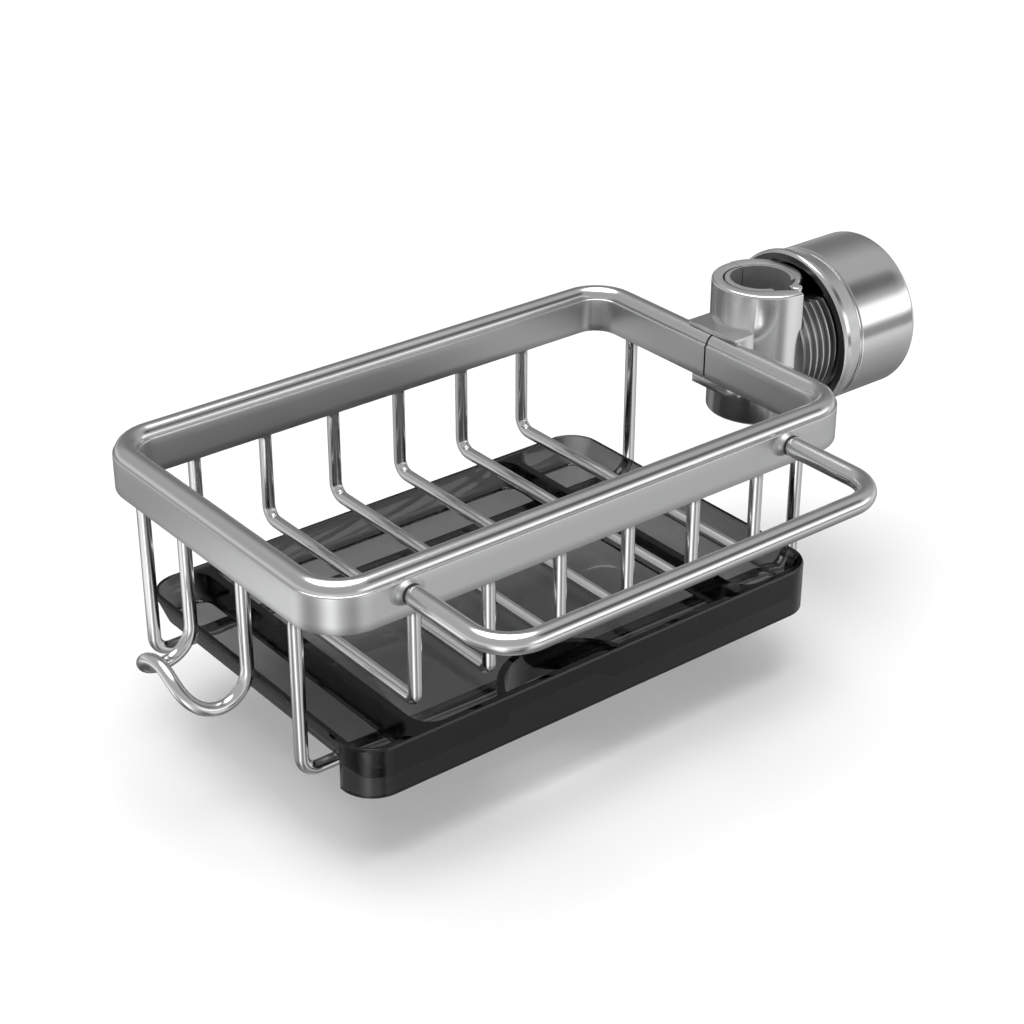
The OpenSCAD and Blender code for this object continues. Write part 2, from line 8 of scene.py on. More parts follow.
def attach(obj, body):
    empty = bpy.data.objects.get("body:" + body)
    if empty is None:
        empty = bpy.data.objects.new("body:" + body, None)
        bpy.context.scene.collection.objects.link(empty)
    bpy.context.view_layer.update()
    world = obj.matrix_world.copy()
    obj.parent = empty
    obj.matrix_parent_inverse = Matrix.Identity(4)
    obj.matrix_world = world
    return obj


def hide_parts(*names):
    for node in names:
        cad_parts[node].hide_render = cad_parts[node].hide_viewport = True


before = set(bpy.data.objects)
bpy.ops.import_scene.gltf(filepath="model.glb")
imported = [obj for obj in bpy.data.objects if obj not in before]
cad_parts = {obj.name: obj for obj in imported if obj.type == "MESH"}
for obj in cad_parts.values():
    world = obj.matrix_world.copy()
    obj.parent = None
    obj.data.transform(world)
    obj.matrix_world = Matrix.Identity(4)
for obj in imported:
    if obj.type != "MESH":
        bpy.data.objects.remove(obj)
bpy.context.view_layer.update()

# Shapes are written in millimetres of the row frame: +X to the knob, -Y to the towel bar, +Z up
MM = 0.001
# Points nearer than this (metres) are merged where a surface closes on its axis
MERGE = 2e-5
# Radius at which a revolved surface meets its axis, small enough to be merged
POLE = 0.01
# Cutting blocks and discs reach this far, well past the clamp's ring
FAR = 40.0


# Mesh helpers
def new_object(name, mesh):
    """A new object in the scene, made of a mesh or of a bmesh that it uses up."""
    if isinstance(mesh, bmesh.types.BMesh):
        data = bpy.data.meshes.new(name)
        mesh.to_mesh(data)
        mesh.free()
    else:
        data = mesh
        data.name = name
    ob = bpy.data.objects.new(name, data)
    bpy.context.scene.collection.objects.link(ob)
    return ob


def finish_object(name, mesh, mat, body, nodes, sharp):
    """An object, smooth but for edges over sharp degrees, that rides on a body and replaces CAD nodes."""
    ob = new_object(name, mesh)
    ob.data.shade_smooth()
    ob.data.set_sharp_from_angle(angle=math.radians(sharp))
    ob.data.materials.clear()
    ob.data.materials.append(mat)
    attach(ob, body)
    if nodes:
        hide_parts(*nodes)
    return ob


def paint(ob, mat, test):
    """Gives a second material to the faces whose normal and centre (mm) pass the test."""
    ob.data.materials.append(mat)
    index = len(ob.data.materials) - 1
    for face in ob.data.polygons:
        if test(face.normal, face.center / MM):
            face.material_index = index


def loft(rows, ring=False):
    """Skin over closed rows with a cap at each end, or over open rows that go right round a ring.

    UVs are lengths in metres: U from row to row, V along the widest row.
    """
    bm = bmesh.new()
    uv = bm.loops.layers.uv.new("UVMap")
    grid = [[bm.verts.new(Vector(p) * MM) for p in row] for row in rows]
    count, size = len(rows), len(rows[0])
    us = [0.0]
    for i in range(count):
        a, b = rows[i], rows[(i + 1) % count]
        step = max((Vector(a[k]) - Vector(b[k])).length for k in range(0, size, max(1, size // 8)))
        us.append(us[-1] + step * MM)
    widest = max(rows, key=lambda r: sum((Vector(r[k]) - Vector(r[k - 1])).length for k in range(size)))
    vs = [0.0]
    for k in range(size):
        vs.append(vs[-1] + (Vector(widest[k]) - Vector(widest[(k + 1) % size])).length * MM)
    for i in range(count if ring else count - 1):
        i2 = (i + 1) % count
        for k in range(size - 1 if ring else size):
            k2 = (k + 1) % size
            face = bm.faces.new((grid[i][k], grid[i][k2], grid[i2][k2], grid[i2][k]))
            for loop, (u, v) in zip(face.loops, ((i, k), (i, k + 1), (i + 1, k + 1), (i + 1, k))):
                loop[uv].uv = (us[u], vs[v])
    if not ring:
        for row in (grid[0][::-1], grid[-1]):
            face = bm.faces.new(row)
            for loop in face.loops:
                co = loop.vert.co
                loop[uv].uv = (co.x + co.y, co.z)
    bmesh.ops.recalc_face_normals(bm, faces=bm.faces)
    return bm


def closed_ring(rows):
    """Skin over open rows that go right round, closed where the rows meet their axis."""
    bm = loft(rows, ring=True)
    bmesh.ops.remove_doubles(bm, verts=bm.verts, dist=MERGE)
    bmesh.ops.recalc_face_normals(bm, faces=bm.faces)
    return bm


def revolve(profile, axis, centre=(0, 0, 0), steps=96):
    """Closed surface of revolution: profile holds (distance along the axis, radius)."""
    ax = Vector(axis).normalized()
    u = ax.orthogonal().normalized() if abs(ax.z) > 0.9 else Vector((0, 0, 1)).cross(ax).normalized()
    v = ax.cross(u)
    rows = []
    for i in range(steps):
        a = 2 * math.pi * i / steps
        out = u * math.cos(a) + v * math.sin(a)
        rows.append([Vector(centre) + ax * s + out * r for s, r in profile])
    return closed_ring(rows)


def tube_rows(path, radii, sides, start_up=None):
    """Rows of a round tube along a path of vectors, with a radius for each point."""
    tangents = []
    for i in range(len(path)):
        before, after = path[max(i - 1, 0)], path[min(i + 1, len(path) - 1)]
        tangents.append((after - before).normalized())
    up = Vector(start_up) if start_up else tangents[0].orthogonal()
    turns = [2 * math.pi * k / sides for k in range(sides)]
    rows = []
    for p, t, r in zip(path, tangents, radii):
        up = (up - t * up.dot(t)).normalized()
        side = t.cross(up)
        rows.append([p + (up * math.cos(a) + side * math.sin(a)) * r for a in turns])
    return rows


def arc(centre, a0, a1, r, steps, plane):
    """Points on an arc from a0 to a1 degrees: plane gives its two unit vectors."""
    u, v = Vector(plane[0]), Vector(plane[1])
    angles = [math.radians(a0 + (a1 - a0) * i / steps) for i in range(steps + 1)]
    return [Vector(centre) + (u * math.cos(a) + v * math.sin(a)) * r for a in angles]


def line(a, b, steps):
    a, b = Vector(a), Vector(b)
    return [a.lerp(b, i / steps) for i in range(steps + 1)]


def rounded_outline(x0, x1, y0, y1, r, steps=10):
    """Counter-clockwise outline of a rounded rectangle."""
    pts = []
    corners = ((x1 - r, y0 + r, -90), (x1 - r, y1 - r, 0), (x0 + r, y1 - r, 90), (x0 + r, y0 + r, 180))
    for cx, cy, start in corners:
        for i in range(steps + 1):
            a = math.radians(start + 90 * i / steps)
            pts.append((cx + r * math.cos(a), cy + r * math.sin(a)))
    return pts


def temp_object(bm):
    return new_object("tmp", bm)


def box(lo, hi):
    """Bmesh of a box between two corners."""
    bm = bmesh.new()
    bmesh.ops.create_cube(bm, size=1.0)
    for v in bm.verts:
        v.co = Vector([(lo[i] + (hi[i] - lo[i]) * (v.co[i] + 0.5)) * MM for i in range(3)])
    return bm


def block(lo, hi):
    return temp_object(box(lo, hi))


def prism(outline, half):
    """Upright prism over an outline, from -half to half in height."""
    return temp_object(loft([[(x, y, z) for x, y in outline] for z in (-half, half)]))


def disc(x, y, r, half, steps=128, edge=0.0):
    """Upright cylinder from -half to half in height, with rounded edges where edge is given."""
    prof = []
    for end, angles in ((-1, (90, 70, 50, 30, 10, 0)), (1, (0, 10, 30, 50, 70, 90))):
        for t in (angles if edge else (0,)):
            a = math.radians(t)
            prof.append((end * (half - edge * (1 - math.sin(a))), r - edge * (1 - math.cos(a))))
    prof = [(-half, POLE), *prof, (half, POLE)]
    return temp_object(revolve(prof, (0, 0, 1), (x, y, 0), steps))


def applied(ob):
    """The mesh of an object with its modifiers applied."""
    graph = bpy.context.evaluated_depsgraph_get()
    return bpy.data.meshes.new_from_object(ob.evaluated_get(graph))


def boolean(base, cutters, operation):
    """Unites, cuts or intersects base with the cutters, which go."""
    for cutter in cutters:
        mod = base.modifiers.new("boolean", "BOOLEAN")
        mod.operation, mod.solver, mod.object = operation, "EXACT", cutter
    mesh = applied(base)
    base.modifiers.clear()
    base.data = mesh
    for cutter in cutters:
        bpy.data.objects.remove(cutter)
    return base


def taken(base):
    """The mesh of a temporary object, which goes."""
    mesh = applied(base)
    bpy.data.objects.remove(base)
    return mesh


def bevelled(base, width, angle=40, segments=2):
    """The mesh of a temporary object, which goes, with its edges over angle degrees rounded."""
    mod = base.modifiers.new("bevel", "BEVEL")
    mod.width, mod.segments, mod.limit_method = width * MM, segments, "ANGLE"
    mod.angle_limit = math.radians(angle)
    mod.use_clamp_overlap = True
    mod.miter_outer = "MITER_ARC"
    return taken(base)


# Materials
class Nodes:
    """Short way to write a node tree."""

    def __init__(self, tree):
        self.tree = tree
        tree.nodes.clear()

    def new(self, kind, **values):
        node = self.tree.nodes.new(kind)
        for key, value in values.items():
            if hasattr(node, key):
                setattr(node, key, value)
            else:
                self.put(node, key, value)
        return node

    def put(self, node, key, value):
        """Sets an input, or joins it to an output. Its name has underscores for spaces."""
        socket = node.inputs[key.replace("_", " ") if isinstance(key, str) else key]
        if isinstance(value, bpy.types.NodeSocket):
            self.tree.links.new(value, socket)
        else:
            socket.default_value = value

    def math(self, operation, a, b):
        node = self.new("ShaderNodeMath", operation=operation)
        self.put(node, 0, a)
        self.put(node, 1, b)
        return node.outputs[0]

    def add(self, a, b):
        return self.math("ADD", a, b)

    def sub(self, a, b):
        return self.math("SUBTRACT", a, b)

    def mul(self, a, b):
        return self.math("MULTIPLY", a, b)

    def off_middle(self, noise, gain):
        """How far a noise is from its middle of 0.5, times gain."""
        return self.mul(self.sub(noise.outputs[0], 0.5), gain)

    def smooth(self, value, lo, hi, a=0.0, b=1.0):
        """Smooth step from a at lo to b at hi."""
        node = self.new("ShaderNodeMapRange", interpolation_type="SMOOTHSTEP")
        for key, part in enumerate((value, lo, hi, a, b)):
            self.put(node, key, part)
        return node.outputs[0]

    def ramp(self, value, stops):
        """Colour ramp: each stop is a place and a grey or a colour."""
        node = self.new("ShaderNodeValToRGB")
        self.put(node, 0, value)
        elements = node.color_ramp.elements
        while len(elements) < len(stops):
            elements.new(0.5)
        for element, (place, c) in zip(elements, stops):
            element.position = place
            element.color = (c, c, c, 1) if isinstance(c, float) else (*c, 1)
        return node.outputs[0]

    def grey_ramp(self, value, stops):
        return self.first(self.new("ShaderNodeRGBToBW"), self.ramp(value, stops))

    def first(self, node, value):
        """Joins a value to a node's first input and gives the node's first output."""
        self.put(node, 0, value)
        return node.outputs[0]

    def noise(self, vector, scale, detail, distortion=0.0):
        node = self.new("ShaderNodeTexNoise", Scale=scale, Detail=detail, Distortion=distortion)
        self.put(node, "Vector", vector)
        return node

    def bump(self, noise, strength, distance):
        node = self.new("ShaderNodeBump", Strength=strength, Distance=distance)
        self.put(node, "Height", noise.outputs[0])
        return node.outputs[0]

    def mix(self, share, a, b):
        """Mix of two shaders: share 0 is a, share 1 is b."""
        node = self.new("ShaderNodeMixShader")
        for key, part in enumerate((share, a.outputs[0], b.outputs[0])):
            self.put(node, key, part)
        return node

    def seen_directly(self):
        """1 for camera rays and for rays that went through the plastic, otherwise 0."""
        path = self.new("ShaderNodeLightPath")
        return self.math("MAXIMUM", path.outputs["Is Camera Ray"], path.outputs["Is Transmission Ray"])

    def surface(self, shader, kind="ShaderNodeOutputMaterial"):
        out = self.new(kind)
        self.put(out, "Surface", shader.outputs[0])
        return out


def material(name):
    mat = bpy.data.materials.new(name)
    mat.use_nodes = True
    return mat, Nodes(mat.node_tree)


def steel(name, colour, rough, grain, grain_rough=0.05, bump=0.02, uv=True, spots=0.0, polish=None):
    """Stainless steel with fine grain, slight cloudiness and, with spots, faint handling marks.

    grain is its scale along and across the grain, which runs along U, or along Z without uv.
    polish holds the range of V (metres) that is buffed smoother, and by how much.
    """
    mat, n = material(name)
    coord = n.new("ShaderNodeTexCoord")
    source = coord.outputs["UV" if uv else "Object"]
    along, across = grain
    mapping = n.new("ShaderNodeMapping", Scale=(along, across, 1.0) if uv else (across, across, along))
    n.put(mapping, "Vector", source)
    fine = n.noise(mapping.outputs[0], 1.0, 3.0)
    cloud = n.noise(coord.outputs["Object"], 38.0, 4.0)
    tone = n.add(n.off_middle(fine, 0.10), n.off_middle(cloud, 0.05))
    base = n.new("ShaderNodeMix", data_type="RGBA", blend_type="MULTIPLY")
    # Inputs 0, 6 and 7 of a colour mix are its factor and its two colours
    n.put(base, 0, 1.0)
    n.put(base, 6, (*colour, 1))
    n.put(base, 7, n.ramp(n.add(tone, 0.5), [(0.3, 0.9), (0.7, 1.0)]))
    r = n.add(rough, n.off_middle(fine, grain_rough * 2))
    r = n.add(r, n.off_middle(cloud, 0.06))
    if spots:
        marks = n.noise(coord.outputs["Object"], 420.0, 2.0)
        r = n.add(r, n.mul(n.smooth(marks.outputs[0], 0.6, 0.75), spots))
    if polish:
        sep = n.new("ShaderNodeSeparateXYZ")
        n.put(sep, 0, source)
        start, end, less = polish
        v = sep.outputs[1]
        r = n.sub(r, n.mul(n.mul(n.smooth(v, start, start + MM), n.smooth(v, end, end - MM)), less))
    shader = n.new("ShaderNodeBsdfPrincipled", Metallic=1.0)
    n.put(shader, "Base_Color", base.outputs[2])
    n.put(shader, "Roughness", r)
    n.put(shader, "Normal", n.bump(fine, bump, 0.2 * MM))
    n.surface(shader)
    return mat


def mottled(name, dark, light, smooth, rough, scale, bump=0.0):
    """Rubber or plain plastic whose tone and roughness vary in fine spots."""
    mat, n = material(name)
    spots = n.noise(n.new("ShaderNodeTexCoord").outputs["Object"], scale, 3.0)
    shader = n.new("ShaderNodeBsdfPrincipled")
    n.put(shader, "Base_Color", n.ramp(spots.outputs[0], [(0.3, dark), (0.7, light)]))
    n.put(shader, "Roughness", n.smooth(spots.outputs[0], 0.2, 0.8, smooth, rough))
    if bump:
        n.put(shader, "Normal", n.bump(spots, bump, 0.2 * MM))
    n.surface(shader)
    return mat


def rubber(name, dark, light):
    return mottled(name, dark, light, 0.5, 0.72, scale=900.0, bump=0.15)


def smoked(name, density, painted_shade_from, painted_shade_to):
    """Smoked clear plastic: it refracts, darkens with thickness, and has faint flow marks and fine dust.

    Between two places on Y (metres), from the body to the panel's front face, its colour is painted darker:
    painted shade for the dark space seen through the panel.
    """
    mat, n = material(name)
    coord = n.new("ShaderNodeTexCoord").outputs["Object"]
    flow = n.noise(coord, 14.0, 3.0, 0.6)
    dust = n.noise(coord, 1500.0, 1.0)
    shader = n.new("ShaderNodeBsdfPrincipled", IOR=1.42, Transmission_Weight=1.0)
    sep = n.new("ShaderNodeSeparateXYZ")
    n.put(sep, 0, coord)
    tint_and_shade = n.new("ShaderNodeHueSaturation")
    n.put(tint_and_shade, "Color", n.ramp(flow.outputs[0], [(0.3, (0.93, 0.935, 0.94)), (0.7, (0.97, 0.975, 0.98))]))
    # Painted shade: the colour darkens towards the panel's front face
    n.put(tint_and_shade, "Value", n.smooth(sep.outputs[1], painted_shade_from, painted_shade_to, 1.0, 0.03))
    n.put(shader, "Base_Color", tint_and_shade.outputs[0])
    n.put(shader, "Roughness", n.add(0.02, n.mul(n.smooth(dust.outputs[0], 0.55, 0.8), 0.06)))
    n.put(shader, "Normal", n.bump(flow, 0.05, 0.5 * MM))
    # Light that falls through the plastic is dimmed in a straight line
    through = n.new("ShaderNodeBsdfTransparent", Color=(0.5, 0.5, 0.51, 1))
    shadow = n.new("ShaderNodeLightPath").outputs["Is Shadow Ray"]
    out = n.surface(n.mix(shadow, shader, through))
    smoke = n.new("ShaderNodeVolumeAbsorption", Density=density, Color=(0.02, 0.022, 0.028, 1))
    n.put(out, "Volume", smoke.outputs[0])
    return mat


SATIN = steel("satin_steel", (0.62, 0.624, 0.63), 0.36, (25.0, 5200.0), 0.04, polish=(0.0122, 0.0262, 0.18))
# Darker copy of the satin steel: painted shade for the rear run's inner face
SATIN_SHADED = steel("satin_steel_painted_shade", (0.5, 0.503, 0.508), 0.36, (25.0, 5200.0), 0.04)
# Rougher steel for the bosses, with a darker colour that damps their highlights: painted shade
BOSS = steel("satin_boss_painted_shade", (0.54, 0.544, 0.55), 0.48, (25.0, 5200.0), 0.04)
WIRE = steel("polished_wire", (0.68, 0.683, 0.687), 0.16, (20.0, 3000.0), 0.03, spots=0.03)
BAR = steel("polished_bar", (0.68, 0.683, 0.687), 0.15, (20.0, 3000.0), 0.03, spots=0.03)
KNOB = steel("knob_steel", (0.67, 0.673, 0.677), 0.14, (20.0, 4200.0), 0.04)
CLAMP = steel("clamp_steel", (0.66, 0.662, 0.665), 0.20, (200.0, 6000.0), 0.03, bump=0.01, uv=False)
# Rougher steel for the flat ends, painted darker: painted shade
ENDS_SHADED = steel("clamp_ends_painted_shade", (0.47, 0.472, 0.476), 0.5, (900.0, 900.0), bump=0.01, uv=False)
THREAD = steel("thread_steel", (0.66, 0.662, 0.665), 0.20, (3000.0, 3000.0), 0.03, uv=False)
# Darker steel for the thread's valleys: painted shade
GROOVE = steel("thread_groove_painted_shade", (0.3, 0.3, 0.303), 0.34, (4000.0, 4000.0), uv=False)
# Rough steel painted near black for the knob's front face and bore: painted shade
TURNED_SHADED = steel("turned_steel_painted_shade", (0.13, 0.13, 0.132), 0.36, (4000.0, 4000.0), uv=False)
DARK = steel("dark_steel", (0.16, 0.16, 0.165), 0.38, (3000.0, 3000.0), uv=False)
SCREW = steel("screw_steel", (0.5, 0.5, 0.5), 0.33, (3000.0, 3000.0), uv=False)
RUBBER = rubber("black_rubber", (0.012, 0.012, 0.013), (0.028, 0.028, 0.029))
GREY = rubber("grey_rubber", (0.2, 0.202, 0.206), (0.25, 0.252, 0.256))
# Darker copy of the grey rubber: painted shade
RUBBER_SHADE = rubber("grey_rubber_painted_shade", (0.15, 0.151, 0.153), (0.19, 0.191, 0.193))
WHITE = mottled("white_plastic", (0.74, 0.74, 0.72), (0.8, 0.8, 0.78), 0.38, 0.5, scale=500.0)
SMOKED = smoked("smoked_plastic", density=1000.0, painted_shade_from=-0.0655, painted_shade_to=-0.0668)


# Rim band
# Middle of the basket, and height of the band's lower edge
BASKET_X = -127.0
BAND_Z = -7.5
BAND_LENGTH = 220.0
BAND_WIDTH = 135.0
BAND_THICK = 9.0
BAND_HEIGHT = 13.0
CROWN_HEIGHT = 3.6
BAND_CORNER = 18.0
# Rounding where a face meets the crown, and chamfer of the lower edges
SHOULDER = 0.6
LOW_EDGE = 0.45
# Half of the gap between the band's two ends
SEAM_HALF = 0.42
# Distances from the basket's middle to the middle of the band's thickness
BAND_MID_X = (BAND_LENGTH - BAND_THICK) / 2
BAND_MID_Y = (BAND_WIDTH - BAND_THICK) / 2


def band_section():
    """Closed section of the band: (distance in from the outer face, height)."""
    half = BAND_THICK / 2 - SHOULDER
    crown_r = (half * half + CROWN_HEIGHT * CROWN_HEIGHT) / (2 * CROWN_HEIGHT)
    crown_z = BAND_HEIGHT + CROWN_HEIGHT - crown_r
    spread = math.asin(half / crown_r)
    face = [(LOW_EDGE, 0.0), (LOW_EDGE * 0.3, LOW_EDGE * 0.3), (0.0, LOW_EDGE)]
    face += [(0.0, BAND_HEIGHT * k / 4) for k in (1, 2, 3)]
    for t in range(0, 91, 15):
        a = math.radians(t)
        face.append((SHOULDER - SHOULDER * math.cos(a), BAND_HEIGHT - SHOULDER + SHOULDER * math.sin(a)))
    crown = []
    for k in range(1, 20):
        a = -spread + 2 * spread * k / 20
        crown.append((BAND_THICK / 2 + crown_r * math.sin(a), crown_z + crown_r * math.cos(a)))
    return face + crown + [(BAND_THICK - s, z) for s, z in reversed(face)]


def band_path():
    """Stations (x, y, inward x, inward y) round the band's outer face, from one end to the other."""
    x1 = BAND_LENGTH / 2
    bend_x, bend_y = x1 - BAND_CORNER, BAND_WIDTH / 2 - BAND_CORNER
    run = bend_y - SEAM_HALF
    stations = [(x1, SEAM_HALF + run * k / 4, -1, 0) for k in range(4)]
    bends = ((bend_x, bend_y, 0), (-bend_x, bend_y, 90), (-bend_x, -bend_y, 180), (bend_x, -bend_y, 270))
    for cx, cy, start in bends:
        for k in range(17):
            a = math.radians(start + 90 * k / 16)
            c, s = math.cos(a), math.sin(a)
            stations.append((cx + BAND_CORNER * c, cy + BAND_CORNER * s, -c, -s))
    stations += [(x1, -bend_y + run * k / 4, -1, 0) for k in range(1, 5)]
    return stations


def make_band():
    section = band_section()
    return loft([[(BASKET_X + x + ix * s, y + iy * s, BAND_Z + z) for s, z in section]
                 for x, y, ix, iy in band_path()])


band = finish_object("rim_band_bar", make_band(), SATIN, "caddy", ["rim_band"], sharp=40)
# The inner face of the rear run is painted a little darker: painted shade, as it faces into the basket
paint(band, SATIN_SHADED, lambda n, c: n.y < -0.9 and c.y > BAND_MID_Y - BAND_THICK)


# Bosses and washers of the towel bar
BAR_DIAMETER = 6.9
# Width between the axes of the bar's arms, and how far the bar sits to the left of the basket's middle
BAR_WIDTH = 155.6
BAR_SHIFT = 2.6
# Height of its axis over the band's lower edge, reach from the band's face, and radius of its bends
BAR_HEIGHT = 9.0
BAR_REACH = 44.5
BAR_BEND = 14.0
BOSS_LENGTH = 2.3
WASHER_THICK = 0.75
# Half width of the boss's foot, and its reach above and below the bar's axis
FOOT_HALF = 7.0
FOOT_UP = 3.8
FOOT_DOWN = 4.8
# Depth to which a boss is let into the band, how much wider than the bar a washer is, and small roundings
BOSS_SINK = 0.02
WASHER_OVER = 0.08
WASHER_EDGE = 0.12
ROD_EDGE = 0.15
FACE_Y = -BAND_WIDTH / 2
BAR_R = BAR_DIAMETER / 2
BAR_Z = BAND_Z + BAR_HEIGHT


def bar_x(side):
    """Place of the left (-1) or right (1) arm's axis."""
    return BASKET_X + side * BAR_WIDTH / 2 - BAR_SHIFT


def make_boss(side):
    """Boss whose foot flares out on the band's flat face, and stays under the crown."""
    steps, flare_steps = 72, 12
    end = BOSS_LENGTH + BOSS_SINK
    rows = []
    for i in range(steps):
        a = 2 * math.pi * i / steps
        c, s = math.cos(a), math.sin(a)
        foot = 1 / math.hypot(c / FOOT_HALF, s / (FOOT_UP if s > 0 else FOOT_DOWN))
        profile = []
        for k in range(flare_steps + 1):
            t = math.pi / 2 * k / flare_steps
            profile.append((BAR_R + (foot - BAR_R) * (1 - math.sin(t)), BOSS_LENGTH * (1 - math.cos(t))))
        profile += [(BAR_R - WASHER_EDGE, end), (POLE, end)]
        rows.append([(bar_x(side) + c * r, FACE_Y + BOSS_SINK - out, BAR_Z + s * r) for r, out in profile])
    return closed_ring(rows)


def make_washer(side):
    """Rubber ring between a boss and the bar, a hair wider than both."""
    near, r = FACE_Y - BOSS_LENGTH, BAR_R + WASHER_OVER
    far = near - WASHER_THICK
    profile = [(near + 0.05, POLE), (near + 0.05, r - 0.2), (near - WASHER_EDGE, r)]
    profile += [(far + WASHER_EDGE, r), (far, r - 0.15), (far, POLE)]
    return revolve(profile, (0, 1, 0), (bar_x(side), 0, BAR_Z), 48)


for side, tag in ((-1, "left"), (1, "right")):
    finish_object("bar_boss_" + tag, make_boss(side), BOSS, "caddy", (), sharp=50)
    finish_object("bar_washer_ring_" + tag, make_washer(side), RUBBER, "caddy", ["bar_washer_" + tag],
                  sharp=50)


# Wires
WIRE_R = 2.25
# Weld fillet at a wire's end: distances along the wire, and what each adds to the radius
WELD = ((0.0, 0.75), (0.25, 0.5), (0.6, 0.2), (1.1, 0.0))
FLOOR_WIRES = 6
FLOOR_PITCH = 28.4
FLOOR_SHIFT = 4.0
FLOOR_DROP = 34.0
FLOOR_BEND_FRONT = 2.6
FLOOR_BEND_REAR = 5.0
RAIL_Y = 44.5
RAIL_DROP = 58.0
RAIL_BEND = 6.0
HOOK_Y = 1.8
HOOK_WIDTH = 34.0
# The hook's straight leg, and the radius of its outward curl
HOOK_LEG = 34.0
HOOK_CURL = 11.0
# Length along the curl where the two legs stay parallel, and of the rounded loop that follows
HOOK_PARALLEL = 14.0
HOOK_LOOP = 22.0


def u_path(p0, p1, drop, r0, r1):
    """Path from the band at p0 down, along under, and up to p1, with bends of radius r0 and r1."""
    a, b = Vector((*p0, BAND_Z)), Vector((*p1, BAND_Z))
    run = (b - a).normalized()
    down = Vector((0, 0, -1))
    low_a, low_b = a + down * drop, b + down * drop
    path = line(a, low_a - down * r0, 10)
    path += arc(low_a - down * r0 + run * r0, 0, 90, r0, 10, (-run, down))[1:]
    path += line(low_a + run * r0, low_b - run * r1, 24)[1:]
    path += arc(low_b - down * r1 - run * r1, 90, 0, r1, 10, (run, down))[1:]
    path += line(low_b - down * r1, b, 10)[1:]
    return path


def hook_path():
    """Down the rear leg, outward round the loop and up the front leg."""
    half_turn = math.pi * HOOK_CURL
    x0, half = BASKET_X - BAND_MID_X, HOOK_WIDTH / 2

    def at(s, y):
        """Point at length s from the start of the curl: s is negative on the leg."""
        a = min(max(s / HOOK_CURL, 0.0), math.pi)
        z = BAND_Z - HOOK_LEG - HOOK_CURL * math.sin(a) - min(s, 0) + max(s - half_turn, 0)
        return Vector((x0 - HOOK_CURL * (1 - math.cos(a)), HOOK_Y + y, z))

    path = [at(-HOOK_LEG + HOOK_LEG * k / 12, half) for k in range(12)]
    path += [at(HOOK_PARALLEL * k / 12, half) for k in range(12)]
    for k in range(61):
        a = math.pi * k / 60
        path.append(at(HOOK_PARALLEL + HOOK_LOOP * math.sin(a), half * math.cos(a)))
    path += [at(HOOK_PARALLEL * k / 12, -half) for k in range(11, -1, -1)]
    path += [at(-HOOK_LEG * k / 12, -half) for k in range(1, 13)]
    return path


def wire(node, path):
    """Drawn wire with a small weld fillet at each end."""

    def fillet(end, beside):
        t = (beside - end).normalized()
        return [end + t * along for along, _ in WELD]

    thick = [WIRE_R + more for _, more in WELD]
    radii = thick + [WIRE_R] * (len(path) - 2) + thick[::-1]
    path = fillet(path[0], path[1]) + path[1:-1] + fillet(path[-1], path[-2])[::-1]
    rod = loft(tube_rows(path, radii, 28))
    finish_object(node + "_rod", rod, WIRE, "caddy", [node], sharp=60)


for i in range(FLOOR_WIRES):
    x = BASKET_X + (i - (FLOOR_WIRES - 1) / 2) * FLOOR_PITCH - FLOOR_SHIFT
    ends = (x, -BAND_MID_Y), (x, BAND_MID_Y)
    wire(f"floor_wire_{i + 1}", u_path(*ends, FLOOR_DROP, FLOOR_BEND_FRONT, FLOOR_BEND_REAR))
for tag, y in (("front", -RAIL_Y), ("rear", RAIL_Y)):
    ends = (BASKET_X - BAND_MID_X, y), (BASKET_X + BAND_MID_X, y)
    wire(f"rail_wire_{tag}", u_path(*ends, RAIL_DROP, RAIL_BEND, RAIL_BEND))
wire("hook_wire", hook_path())


# Towel bar
def make_bar():
    near, far = FACE_Y - BOSS_LENGTH - WASHER_THICK, FACE_Y - BAR_REACH
    xa, xb, z, r = bar_x(-1), bar_x(1), BAR_Z, BAR_BEND
    path = line((xa, near, z), (xa, far + r, z), 12)[1:]
    path += arc((xa + r, far + r, z), 0, 90, r, 20, ((-1, 0, 0), (0, -1, 0)))[1:]
    path += line((xa + r, far, z), (xb - r, far, z), 40)[1:]
    path += arc((xb - r, far + r, z), 90, 0, r, 20, ((1, 0, 0), (0, -1, 0)))[1:]
    path += line((xb, far + r, z), (xb, near, z), 12)[1:-1]
    radii = [BAR_R - ROD_EDGE, BAR_R] + [BAR_R] * len(path) + [BAR_R, BAR_R - ROD_EDGE]
    edge = Vector((0, -ROD_EDGE, 0))
    first, last = Vector((xa, near, z)), Vector((xb, near, z))
    path = [first, first + edge] + path + [last + edge, last]
    return loft(tube_rows(path, radii, 40, (0, 0, 1)))


finish_object("towel_bar_rod", make_bar(), BAR, "caddy", ["towel_bar"], sharp=50)


# Drip tray
TRAY_LENGTH = 194.0
TRAY_WIDTH = 132.0
TRAY_SHIFT = 1.0
TRAY_FRONT_Y = -67.0
# Height of its rim over the band's lower edge, its own height, and how far its walls lean in at the bottom
TRAY_TOP = -44.0
TRAY_HEIGHT = 11.4
TRAY_LEAN = 4.0
TRAY_CORNER = 12.0
# The front panel: height, thickness, and how far it wraps round the corners
PANEL_HEIGHT = 18.0
PANEL_THICK = 2.3
PANEL_WRAP = 13.0
# The rim's outer edge: height of its facet, radius of its rounding, and how far that is drawn in
LIP_HEIGHT = 1.0
LIP_RADIUS = 0.4
LIP_INSET = 0.67
# Rounding of the bottom's outer edge, and of all the cut edges
BOTTOM_EDGE = 0.5
CUT_EDGE = 0.45
